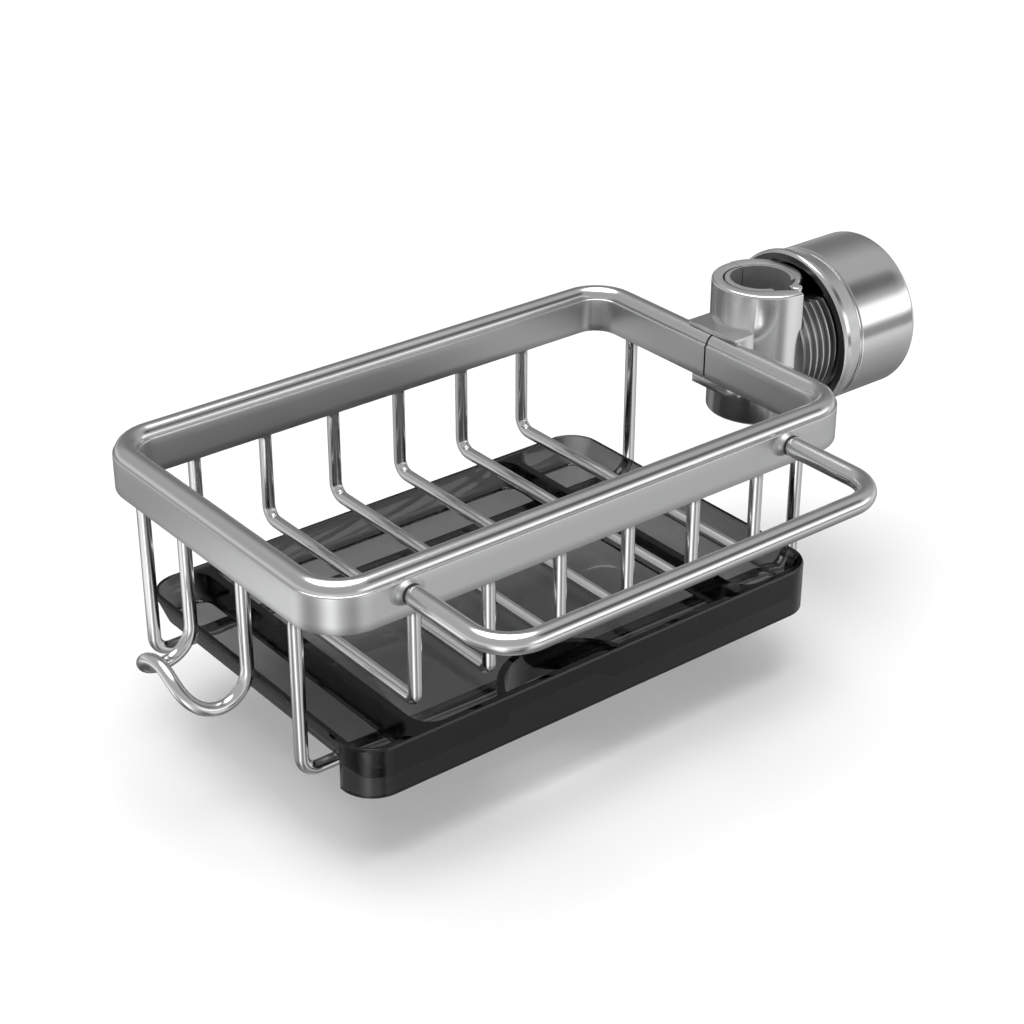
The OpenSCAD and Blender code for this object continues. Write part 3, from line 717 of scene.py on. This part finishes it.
# How far the body stands behind the panel's face
BODY_BACK = 0.3
REAR_WALL = 2.6
SIDE_WALL = 1.8
FLOOR_THICK = 1.45
LEFT_CELL = 20.0
RIGHT_CELL = 32.5
RIB_THICK = 3.0
RIB_FILLET = 1.0
RIB_LEAN = 0.02
CELL_FILLET = 2.6
CELL_CORNER = 8.0
# A cell's corners get sharper towards its floor by this share of its walls' lean
CORNER_SHRINK = 0.75
SCOOP_WIDTH = 44.0
SCOOP_DEPTH = 14.0
SCOOP_SHIFT = 18.0
SCOOP_WALL = 2.6
TRAY_X0 = BASKET_X - TRAY_SHIFT - TRAY_LENGTH / 2
TRAY_X1 = TRAY_X0 + TRAY_LENGTH
TRAY_REAR_Y = TRAY_FRONT_Y + TRAY_WIDTH
TRAY_Z1 = BAND_Z + TRAY_TOP
TRAY_Z0 = TRAY_Z1 - TRAY_HEIGHT


def tray_level(z, inset, front_inset=None):
    """Outline of the tray at height z, drawn in by inset all round, or by front_inset at the front."""
    x0, x1, rear = TRAY_X0 + inset, TRAY_X1 - inset, TRAY_REAR_Y - inset
    front = TRAY_FRONT_Y + (inset if front_inset is None else front_inset)
    outline = rounded_outline(x0, x1, front, rear, TRAY_CORNER - inset)
    return [(x, y, z) for x, y in outline]


def tray_outside():
    """Body with leaning walls, and the front panel as a slab that wraps round both front corners."""
    lip = [tray_level(TRAY_Z1 - LIP_HEIGHT, 0.0)]
    for t in (22, 39, 56, 73, 90):
        a = math.radians(t)
        z = TRAY_Z1 - LIP_RADIUS + LIP_RADIUS * math.sin(a)
        lip.append(tray_level(z, LIP_INSET - LIP_RADIUS * math.cos(a)))
    # The body's walls lean in all round but at the front
    low = [tray_level(TRAY_Z0 + up, inset, front_inset=BODY_BACK)
           for up, inset in ((0.0, TRAY_LEAN + BOTTOM_EDGE), (0.15, TRAY_LEAN + 0.12),
                             (BOTTOM_EDGE, TRAY_LEAN * (1 - BOTTOM_EDGE / TRAY_HEIGHT)))]
    body = temp_object(loft(low + lip))
    bottom = TRAY_Z1 - PANEL_HEIGHT
    panel = temp_object(loft([tray_level(bottom, 0.0), tray_level(TRAY_Z1 - PANEL_HEIGHT / 2, 0.0), *lip]))
    hollow = temp_object(loft([tray_level(bottom - 1, PANEL_THICK), tray_level(TRAY_Z1 + 1, PANEL_THICK)]))
    behind = block((BASKET_X - BAND_LENGTH, TRAY_FRONT_Y + PANEL_WRAP, bottom - 2),
                   (BASKET_X + BAND_LENGTH, TRAY_REAR_Y + 5, TRAY_Z1 + 2))
    return boolean(body, [boolean(panel, [hollow, behind], "DIFFERENCE")], "UNION")


def tray_cell(x0, x1, left_wall=False, right_wall=False):
    """Space of one cell: outer walls lean and blend into the floor, and the ribs beside it stand upright."""
    front, rear = TRAY_FRONT_Y + PANEL_THICK, TRAY_REAR_Y - REAR_WALL
    floor_z = TRAY_Z0 + FLOOR_THICK
    levels = []
    for t in [math.pi / 2 * i / 7 for i in range(8)]:
        levels.append((floor_z + CELL_FILLET * (1 - math.cos(t)), CELL_FILLET * (1 - math.sin(t))))
    levels.append((TRAY_Z1 + 1, 0.0))
    rows = []
    for z, soft in levels:
        wall = TRAY_LEAN / TRAY_HEIGHT * (TRAY_Z1 - z) + soft
        rib = min(soft, RIB_FILLET) + RIB_LEAN * (TRAY_Z1 - z)
        outline = rounded_outline(x0 + (wall if left_wall else rib), x1 - (wall if right_wall else rib),
                                  front + rib, rear - wall, CELL_CORNER - wall * CORNER_SHRINK)
        rows.append([(x, y, z) for x, y in outline])
    return temp_object(loft(rows))


def scoop(grow):
    """Space of the finger scoop behind the panel: a segment of a circle, larger all round by grow."""
    half, deep = SCOOP_WIDTH / 2 + grow, SCOOP_DEPTH + grow
    r = (half * half + deep * deep) / (2 * deep)
    cx, cy = BASKET_X - SCOOP_SHIFT - TRAY_SHIFT, TRAY_FRONT_Y + PANEL_THICK + deep - r
    spread = math.asin(half / r)
    angles = [spread - 2 * spread * k / 36 for k in range(37)]
    return temp_object(loft([[(cx + r * math.sin(a), cy + r * math.cos(a), z) for a in angles]
                             for z in (TRAY_Z0 - 1, TRAY_Z1 + 2)]))


def make_tray():
    x0, x1 = TRAY_X0 + SIDE_WALL, TRAY_X1 - SIDE_WALL
    left = tray_cell(x0, x0 + LEFT_CELL, left_wall=True)
    right = tray_cell(x1 - RIGHT_CELL, x1, right_wall=True)
    middle = tray_cell(x0 + LEFT_CELL + RIB_THICK, x1 - RIGHT_CELL - RIB_THICK)
    middle = boolean(middle, [scoop(SCOOP_WALL)], "DIFFERENCE")
    body = boolean(tray_outside(), [left, right, middle, scoop(0)], "DIFFERENCE")
    return bevelled(body, CUT_EDGE)


finish_object("drip_tray_shell", make_tray(), SMOKED, "tray", ["drip_tray"], sharp=20)


# Knob
# Its open front, towards the ring
KNOB_X = 15.0
KNOB_LENGTH = 38.5
KNOB_R = 29.3
COLLAR_R = 30.8
# Fine groove between the collar's cone and the grip
FINE_GROOVE_R = 28.8
MOUTH_R = 26.7
NUT_SEAT_R = 27.3
# Depth of the mouth's lip, width of the collar, and where its cone ends and the grip starts
MOUTH_DEPTH = 4.0
COLLAR_WIDTH = 2.6
CONE_END = 9.6
GRIP_START = 10.6
KNOB_END_THICK = 2.5
KNOB_END_ROUND = 2.4


def knob_profile():
    """(x, radius) from the inner end of the nut's seat, round the mouth and the outside, to the far end."""
    inner = KNOB_LENGTH - KNOB_END_THICK
    points = [(inner, POLE), (inner, NUT_SEAT_R - 0.4), (inner - 0.4, NUT_SEAT_R)]
    # The mouth, with its rounded front edge
    points += [(MOUTH_DEPTH, NUT_SEAT_R), (MOUTH_DEPTH, MOUTH_R + 0.15), (MOUTH_DEPTH - 0.15, MOUTH_R)]
    points += [(0.9, MOUTH_R), (0.25, MOUTH_R + 0.35), (0.0, MOUTH_R + 0.9)]
    # The collar, and the cone that runs down to the fine groove
    points += [(0.0, COLLAR_R - 1.0), (0.12, COLLAR_R - 0.8), (0.85, COLLAR_R - 0.1), (1.0, COLLAR_R)]
    points += [(COLLAR_WIDTH, COLLAR_R), (CONE_END, FINE_GROOVE_R), (GRIP_START - 0.2, FINE_GROOVE_R)]
    points += [(GRIP_START - 0.15, KNOB_R - 0.15), (GRIP_START, KNOB_R)]
    # The grip
    start, end = GRIP_START + 0.4, KNOB_LENGTH - KNOB_END_ROUND
    points += [(start + (end - start) * k / 6, KNOB_R) for k in range(1, 6)]
    for t in range(0, 91, 10):
        a = math.radians(t)
        points.append((end + KNOB_END_ROUND * math.sin(a), KNOB_R - KNOB_END_ROUND * (1 - math.cos(a))))
    points += [(KNOB_LENGTH, KNOB_R * 0.6), (KNOB_LENGTH, POLE)]
    return [(KNOB_X + x, r) for x, r in points]


def knob_turned_and_shaded(n, c):
    """True on the knob's front face and in its bore, which are rougher from turning and painted dark: painted
    shade.
    """
    front = n.x < -0.9 and c.x < KNOB_X + 1
    inside = c.x < KNOB_X + KNOB_LENGTH - KNOB_END_THICK - 1 and math.hypot(c.y, c.z) < NUT_SEAT_R + 0.3
    return front or inside


knob = finish_object("knob_shell_cap", revolve(knob_profile(), (1, 0, 0), steps=160), KNOB, "knob",
                     ["knob_shell"], sharp=12)
# The front face and the bore are painted dark: painted shade
paint(knob, TURNED_SHADED, knob_turned_and_shaded)
# Its far end is rougher and painted darker, like the clamp's flat ends: painted shade
paint(knob, ENDS_SHADED, lambda n, c: n.x > 0.9)


# Clamp
RING_R = 20.6
RING_CENTRE_X = 3.0
RING_HALF = 25.5
RING_EDGE = 1.0
# The back half of the ring is a narrower circle round the origin
BACK_R = 17.6
# The fixed half ends here, and the moving half starts
SPLIT_X = 1.5
# Overlap of the two parts of the fixed half
OVERLAP = 0.01
BORE_R = 12.4
BORE_X = -1.6
PIPE_R = 11.0
# Half width of the slot that the jaw slides in
SLOT = 11.6
# The threaded arms: half height, and where they start and end
ARM_HALF = 18.6
ARM_START_X = 0.6
ARM_END_X = 39.0
PITCH = 3.2
ROOT_R = 23.5
CREST_R = 25.0
# The block that saddles the band: its middle lies on the basket's axis
BAND_FACE_X = BASKET_X + BAND_LENGTH / 2
SADDLE_X = -23.0
SADDLE_WIDTH = 24.0
SADDLE_UNDER = 5.0
SADDLE_OVER = 1.8
CORNER_CUT = 4.0
# The moving half of the ring, and the small round that ends it
JAW_X = 1.2
JAW_Y = 2.2
JAW_R = 15.9
JAW_TIP_X = 4.4
JAW_TIP_Y = -14.0
JAW_TIP_R = 2.2
JAW_NECK_X = 8.0
# Clearance of the jaw from the fixed half and the arms
JAW_GAP = 0.3
# The sliding block behind it: half height, and where it starts and ends
SLIDE_HALF = 17.0
SLIDE_X0 = 11.6
SLIDE_X1 = 49.4
PAD_SEAT_R = 12.6
PAD_R = 12.5
PAD_HALF = 25.35
# Clearance of the pad from the fixed half, and from the arms
PAD_GAP = 0.35
PAD_ARM_GAP = 0.4
LINER_X = -1.33
LINER_Y = -0.22
LINER_R = 12.0
LINER_HALF = 25.45
# The flat that thins the fixed half: its two ends, and the depth of the cut
FLAT_X0 = -4.9
FLAT_Y0 = -12.35
FLAT_X1 = 3.0
FLAT_Y1 = -17.35
FLAT_INSIDE_Y = -8.0
# Where the jaw, the liner and the pad end on the open side
JAW_END_X = 2.2
LINER_END_X = -4.4
PAD_END_Y = -8.6
# Roundings of the pieces' edges
RING_BEVEL = 0.45
JAW_BEVEL = 0.5
RUBBER_BEVEL = 0.1
# Past the ring in Y, and past the knob's end in X
BEYOND_Y = 30.0
BEYOND_X = 60.0


def front_flat():
    """Space beside the bore where the fixed half thins down to its tip."""
    outline = [(FLAT_X0, FLAT_Y0), (FLAT_X1, FLAT_Y1), (FLAT_X1, FLAT_INSIDE_Y), (FLAT_X0, FLAT_INSIDE_Y)]
    return prism(outline, FAR)


def make_saddle():
    """Block with its two far corners cut off at 45 degrees."""
    bottom = BAND_Z - SADDLE_UNDER
    saddle = block((SADDLE_X, -SADDLE_WIDTH / 2, bottom),
                   (BORE_X, SADDLE_WIDTH / 2, BAND_Z + BAND_HEIGHT + CROWN_HEIGHT + SADDLE_OVER))
    half = CORNER_CUT / 2
    corners = []
    for side in (-1, 1):
        bm = box((-half, -half, -5), (half, half, 5))
        turn = Matrix.Rotation(math.radians(45), 3, "Z")
        bmesh.ops.rotate(bm, verts=bm.verts, cent=(0, 0, 0), matrix=turn)
        bmesh.ops.translate(bm, verts=bm.verts, vec=Vector((SADDLE_X, side * SADDLE_WIDTH / 2, bottom)) * MM)
        corners.append(temp_object(bm))
    return boolean(saddle, corners, "DIFFERENCE")


def make_clamp_ring():
    """The ring's fixed half with the block that saddles the band."""
    front = boolean(disc(RING_CENTRE_X, 0, RING_R, RING_HALF, edge=RING_EDGE),
                    [block((-FAR, -FAR, -FAR), (SPLIT_X, OVERLAP, FAR))], "INTERSECT")
    back = boolean(disc(0, 0, BACK_R, RING_HALF, edge=RING_EDGE),
                   [block((-FAR, -OVERLAP, -FAR), (SPLIT_X, FAR, FAR))], "INTERSECT")
    body = boolean(boolean(front, [back], "UNION"), [make_saddle()], "UNION")
    # The saddle's channel follows the band's outer half and is open inward
    section = [(s, z) for s, z in band_section() if s <= BAND_THICK / 2]
    top, past = BAND_HEIGHT + CROWN_HEIGHT, BAND_THICK + 1
    section += [(BAND_THICK / 2, top), (past, top), (past, -0.01), (0.3, -0.01)]
    channel = temp_object(loft([[(BAND_FACE_X - s, y, BAND_Z + z) for s, z in section]
                                for y in (-SADDLE_WIDTH, SADDLE_WIDTH)]))
    cuts = [channel, disc(BORE_X, 0, BORE_R, FAR), block((0, -SLOT, -FAR), (FAR, SLOT, FAR)), front_flat()]
    return bevelled(boolean(body, cuts, "DIFFERENCE"), RING_BEVEL, angle=32, segments=3)


def make_clamp_arms():
    """The two threaded arms: a thread of sharp crests, cut flat above and below and slotted in its middle."""
    # Half of a crest's outline: distance from its middle, and depth below the crest
    crest = ((0.85, CREST_R - ROOT_R), (0.34, 0.3), (0.24, 0.1))
    profile = [(ARM_START_X, POLE), (ARM_START_X, ROOT_R)]
    x = SPLIT_X + PITCH / 2
    while x < ARM_END_X - 1:
        profile += [(x - away, CREST_R - deep) for away, deep in crest]
        profile += [(x, CREST_R)]
        profile += [(x + away, CREST_R - deep) for away, deep in reversed(crest)]
        x += PITCH
    profile += [(ARM_END_X, ROOT_R), (ARM_END_X, POLE)]
    arms = temp_object(revolve(profile, (1, 0, 0), steps=160))
    arms = boolean(arms, [block((-5, -FAR, -ARM_HALF), (BEYOND_X, FAR, ARM_HALF))], "INTERSECT")
    return taken(boolean(arms, [block((-5, -SLOT, -FAR), (BEYOND_X, SLOT, FAR))], "DIFFERENCE"))


def make_jaw():
    """The ring's moving half, with the block that slides between the arms."""
    half, w, x, over = RING_HALF - 0.1, SLOT - JAW_GAP, SPLIT_X + JAW_GAP, ARM_HALF + JAW_GAP
    tip_round = disc(JAW_TIP_X, JAW_TIP_Y, JAW_TIP_R, half, 48, 0.6)
    jaw = boolean(disc(JAW_X, JAW_Y, JAW_R, half, edge=RING_EDGE), [tip_round], "UNION")
    # Behind its neck it passes between the arms, and it spreads above and below them
    space = boolean(block((JAW_NECK_X, -w, -FAR), (FAR, w, FAR)),
                    [block((x, -BEYOND_Y, over), (FAR, BEYOND_Y, FAR)),
                     block((x, -BEYOND_Y, -FAR), (FAR, BEYOND_Y, -over))], "UNION")
    jaw = boolean(jaw, [space], "INTERSECT")
    jaw = boolean(jaw, [block((SLIDE_X0, -w, -SLIDE_HALF), (SLIDE_X1, w, SLIDE_HALF))], "UNION")
    # Inside the knob it stays within the mouth
    room = MOUTH_R - 0.5
    mouth = temp_object(revolve([(0, POLE), (0, room), (70, room), (70, POLE)], (1, 0, 0)))
    outside = boolean(block((KNOB_X - 0.4, -FAR, -FAR), (BEYOND_X, FAR, FAR)), [mouth], "DIFFERENCE")
    # Its open end stops short of the fixed half's tip
    tip = block((0, -BEYOND_Y, -FAR), (JAW_END_X, 0, FAR))
    jaw = boolean(jaw, [disc(0, 0, PAD_SEAT_R, FAR), outside, tip], "DIFFERENCE")
    return bevelled(jaw, JAW_BEVEL, segments=3)


def make_liner():
    """Crescent of rubber: it stands a little off the ring on its far side."""
    shell = boolean(disc(LINER_X, LINER_Y, LINER_R, LINER_HALF), [disc(0, 0, PIPE_R, FAR)], "DIFFERENCE")
    shell = boolean(shell, [block((-FAR, -FAR, -FAR), (SPLIT_X, FAR, FAR))], "INTERSECT")
    end = block((LINER_END_X, -FAR, -FAR), (5, 0, FAR))
    return bevelled(boolean(shell, [end], "DIFFERENCE"), RUBBER_BEVEL)


def make_pad():
    """Crescent of rubber in the moving half, cut short at the open end."""
    shell = boolean(disc(0, 0, PAD_R, PAD_HALF), [disc(0, 0, PIPE_R, FAR)], "DIFFERENCE")
    x, w, over = SPLIT_X + PAD_GAP, SLOT - PAD_ARM_GAP, ARM_HALF + PAD_ARM_GAP
    space = boolean(block((x, -w, -FAR), (FAR, w, FAR)),
                    [block((x, 0, over), (FAR, BEYOND_Y, FAR)), block((x, 0, -FAR), (FAR, BEYOND_Y, -over))],
                    "UNION")
    shell = boolean(shell, [space], "INTERSECT")
    end = block((0, -20, -FAR), (9, PAD_END_Y, FAR))
    return bevelled(boolean(shell, [end], "DIFFERENCE"), RUBBER_BEVEL)


ring = finish_object("clamp_ring", make_clamp_ring(), CLAMP, "caddy", ["clamp_body"], sharp=30)
jaw = finish_object("clamp_jaw_half", make_jaw(), CLAMP, "jaw", ["clamp_jaw"], sharp=30)
for ob in (ring, jaw):
    # The flat top and bottom ends are rougher than the outside, and painted darker: painted shade
    paint(ob, ENDS_SHADED, lambda n, c: abs(n.z) > 0.97 and abs(c.z) > RING_HALF - 0.5)
arms = finish_object("clamp_arms", make_clamp_arms(), THREAD, "caddy", (), sharp=35)
# The thread's valleys are painted darker than its crests: painted shade in the grooves
paint(arms, GROOVE, lambda n, c: math.hypot(c.y, c.z) < CREST_R - 0.4 and abs(n.z) < 0.99)
liner = finish_object("clamp_liner_crescent", make_liner(), GREY, "caddy", ["clamp_liner"],
                      sharp=30)
pad = finish_object("jaw_pad_crescent", make_pad(), GREY, "jaw", ["jaw_pad"], sharp=30)
for ob in (liner, pad):
    # The rubber's upright faces are painted darker: painted shade, as in the bore
    paint(ob, RUBBER_SHADE, lambda n, c: abs(n.z) < 0.5)


# Nodes that keep the CAD's own shape
def dress(node, mat):
    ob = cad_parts[node]
    if not ob.material_slots:
        ob.data.materials.append(mat)
    for slot in ob.material_slots:
        slot.material = mat


dress("block_screws", SCREW)
dress("knob_nut", DARK)
dress("thrust_washer", WHITE)


# Studio
# Brightness from straight down (0) to straight up (1)
HEIGHTS = [(0.0, 0.3), (0.1, 0.34), (0.2, 0.7), (0.27, 0.92), (0.38, 1.0), (0.47, 0.9), (0.54, 0.68),
           (0.62, 0.56), (1.0, 0.56)]
# Dark patches: azimuth, elevation, degrees to the end of the dark and of its blur, and brightness left
PATCHES = ((38, 5, 15, 55, 0.45), (130, 42, 5, 17, 0.22))
# Azimuth in degrees that the studio is laid out from
STUDIO_AZIMUTH = 38
# Screens and gaps round the lower studio: part of a turn from that azimuth, and brightness
SCREENS = [(0.0, 0.24), (0.08, 0.4), (0.17, 0.72), (0.21, 0.72), (0.285, 0.66), (0.325, 0.92), (0.35, 1.12),
           (0.38, 1.16), (0.405, 0.4), (0.43, 0.3), (0.455, 0.64), (0.48, 0.76), (0.50, 1.0), (0.52, 1.9),
           (0.535, 2.6), (0.555, 2.4), (0.575, 1.5), (0.62, 0.44), (0.70, 0.48), (0.756, 0.6), (0.79, 0.68),
           (0.84, 0.48), (0.93, 0.24), (1.0, 0.24)]
# The ramp holds the screens' brightness divided by this, so that its stops stay under 1
SCREEN_UNIT = 3.0


def make_world():
    world = bpy.data.worlds.new("studio")
    bpy.context.scene.world = world
    world.use_nodes = True
    n = Nodes(world.node_tree)
    direction = n.new("ShaderNodeTexCoord").outputs["Generated"]
    sep = n.new("ShaderNodeSeparateXYZ")
    n.put(sep, 0, direction)
    x, y, z = sep.outputs

    def lobe(azimuth, elevation, inner, outer):
        """1 within inner degrees of a direction and 0 past outer degrees."""
        a, e = math.radians(azimuth), math.radians(elevation)
        dot = n.new("ShaderNodeVectorMath", operation="DOT_PRODUCT")
        n.put(dot, 0, direction)
        n.put(dot, 1, (math.sin(a) * math.cos(e), math.cos(a) * math.cos(e), math.sin(e)))
        return n.smooth(dot.outputs["Value"], math.cos(math.radians(outer)), math.cos(math.radians(inner)))

    def dimmed(value, share):
        """The value, less the share of it that is given by a socket."""
        return n.mul(value, n.sub(1.0, share))

    level = n.grey_ramp(n.add(n.mul(z, 0.5), 0.5), HEIGHTS)
    for azimuth, elevation, inner, outer, left in PATCHES:
        level = dimmed(level, n.mul(lobe(azimuth, elevation, inner, outer), 1 - left))
    turn = n.math("DIVIDE", n.math("ARCTAN2", x, y), 2 * math.pi)
    # The whole turn that is added keeps the sum positive
    turn = n.first(n.new("ShaderNodeMath", operation="FRACT"), n.add(turn, 1 - STUDIO_AZIMUTH / 360))
    screens = n.grey_ramp(turn, [(place, share / SCREEN_UNIT) for place, share in SCREENS])
    # Heights here and below are those of a unit vector: -1 is straight down, 0 level
    low = n.mul(n.smooth(z, -0.12, -0.32), n.smooth(z, -0.98, -0.8))
    level = n.mul(level, n.add(1.0, n.mul(low, n.sub(n.mul(screens, SCREEN_UNIT), 1.0))))
    # Small spot of light almost straight below
    level = n.add(level, n.mul(lobe(STUDIO_AZIMUTH, -68, 3, 9), 0.6))
    # Soft box low on the right-hand front, with a dark line under it and a faint glow under that
    side = lobe(143, 8, 20, 42)
    soft_box = n.mul(n.smooth(z, -0.02, 0.05), n.smooth(z, 0.42, 0.30))
    glow = n.mul(n.smooth(z, -0.2, -0.3), n.smooth(z, -0.56, -0.44))
    dark_line = n.mul(n.smooth(z, -0.26, -0.18), n.smooth(z, 0.0, -0.07))
    level = n.add(level, n.mul(n.mul(side, soft_box), 1.1))
    level = n.add(level, n.mul(n.mul(side, glow), 0.3))
    level = dimmed(level, n.mul(n.mul(side, dark_line), 0.6))
    studio = n.new("ShaderNodeBackground")
    n.put(studio, "Color", level)
    white = n.new("ShaderNodeBackground", Color=(1, 1, 1, 1), Strength=1.0)
    n.surface(n.mix(n.seen_directly(), studio, white), "ShaderNodeOutputWorld")


# Height of the floor, half of its side in metres, and the glow that brings it up to white
FLOOR_Z = BAND_Z - 87.0
FLOOR_HALF = 8.0
FLOOR_GLOW = 0.14


def make_floor():
    bm = bmesh.new()
    corners = ((-1, -1), (1, -1), (1, 1), (-1, 1))
    bm.faces.new([bm.verts.new((x * FLOOR_HALF, y * FLOOR_HALF, FLOOR_Z * MM)) for x, y in corners])
    mat, n = material("studio_floor")
    paper = n.new("ShaderNodeBsdfDiffuse", Color=(0.8, 0.8, 0.8, 1))
    glow = n.new("ShaderNodeEmission", Color=(*[FLOOR_GLOW] * 3, 1), Strength=n.seen_directly())
    both = n.new("ShaderNodeAddShader")
    n.put(both, 0, paper.outputs[0])
    n.put(both, 1, glow.outputs[0])
    n.surface(both)
    ob = new_object("studio_floor", bm)
    ob.data.materials.append(mat)
    ob.visible_glossy = False


# Half sizes and place of the bounce card
CARD_HALF_X = 75.0
CARD_HALF_Y = 130.0
CARD_PLACE = (-350, 95, FLOOR_Z + 4)


def make_card():
    """Pale bounce card lying to the left of the basket: only glossy surfaces show it."""
    bm = bmesh.new()
    bmesh.ops.create_grid(bm, x_segments=6, y_segments=12, size=1.0)
    for v in bm.verts:
        v.co = Vector((v.co.x * CARD_HALF_X, v.co.y * CARD_HALF_Y, 0)) * MM
    mat, n = material("bounce_card")
    sep = n.new("ShaderNodeSeparateXYZ")
    n.put(sep, 0, n.new("ShaderNodeTexCoord").outputs["Object"])
    x, y = sep.outputs[0], sep.outputs[1]
    glow = n.new("ShaderNodeEmission", Color=(1, 1, 1, 1), Strength=n.smooth(y, -0.03, 0.10, 1.35, 0.3))
    # It fades out at its four sides
    mask = n.mul(n.mul(n.smooth(x, -0.075, -0.045), n.smooth(x, 0.075, 0.045)),
                 n.mul(n.smooth(y, -0.11, -0.07), n.smooth(y, 0.13, 0.10)))
    n.surface(n.mix(mask, n.new("ShaderNodeBsdfTransparent"), glow))
    ob = new_object("bounce_card", bm)
    ob.data.materials.append(mat)
    ob.location = Vector(CARD_PLACE) * MM
    ob.visible_camera = ob.visible_diffuse = ob.visible_transmission = ob.visible_shadow = False


def make_sun():
    """Wide soft light from overhead, a little to the front."""
    sun = bpy.data.lights.new("overhead", "SUN")
    sun.energy = 2.2
    sun.angle = math.radians(55)
    ob = bpy.data.objects.new("overhead", sun)
    bpy.context.scene.collection.objects.link(ob)
    ob.rotation_euler = (math.radians(-8), 0, 0)


make_world()
make_floor()
make_card()
make_sun()


# Camera
CAMERA_AZIMUTH = 38.45
CAMERA_ELEVATION = 28.663
CAMERA_ROLL = 0.081
CAMERA_LENS = 77.498
# Its place from the basket's middle at the band's lower edge
CAMERA_PLACE = (-403.2233, -523.6184, 340.4379)


def make_camera():
    az, el, roll = (math.radians(d) for d in (CAMERA_AZIMUTH, CAMERA_ELEVATION, CAMERA_ROLL))
    look = Vector((math.sin(az) * math.cos(el), math.cos(az) * math.cos(el), -math.sin(el)))
    right = Vector((math.cos(az), -math.sin(az), 0))
    up = right.cross(look)
    rolled_right = right * math.cos(roll) + up * math.sin(roll)
    rolled_up = up * math.cos(roll) - right * math.sin(roll)
    cam = bpy.data.cameras.new("camera")
    cam.sensor_fit = "HORIZONTAL"
    cam.sensor_width = 36.0
    cam.lens = CAMERA_LENS
    cam.clip_start, cam.clip_end = 0.01, 50
    ob = bpy.data.objects.new("camera", cam)
    bpy.context.scene.collection.objects.link(ob)
    m = Matrix((rolled_right, rolled_up, -look)).transposed().to_4x4()
    m.translation = (Vector((BASKET_X, 0, BAND_Z)) + Vector(CAMERA_PLACE)) * MM
    ob.matrix_world = m
    bpy.context.scene.camera = ob


make_camera()
bpy.context.scene.view_settings.view_transform = "Standard"
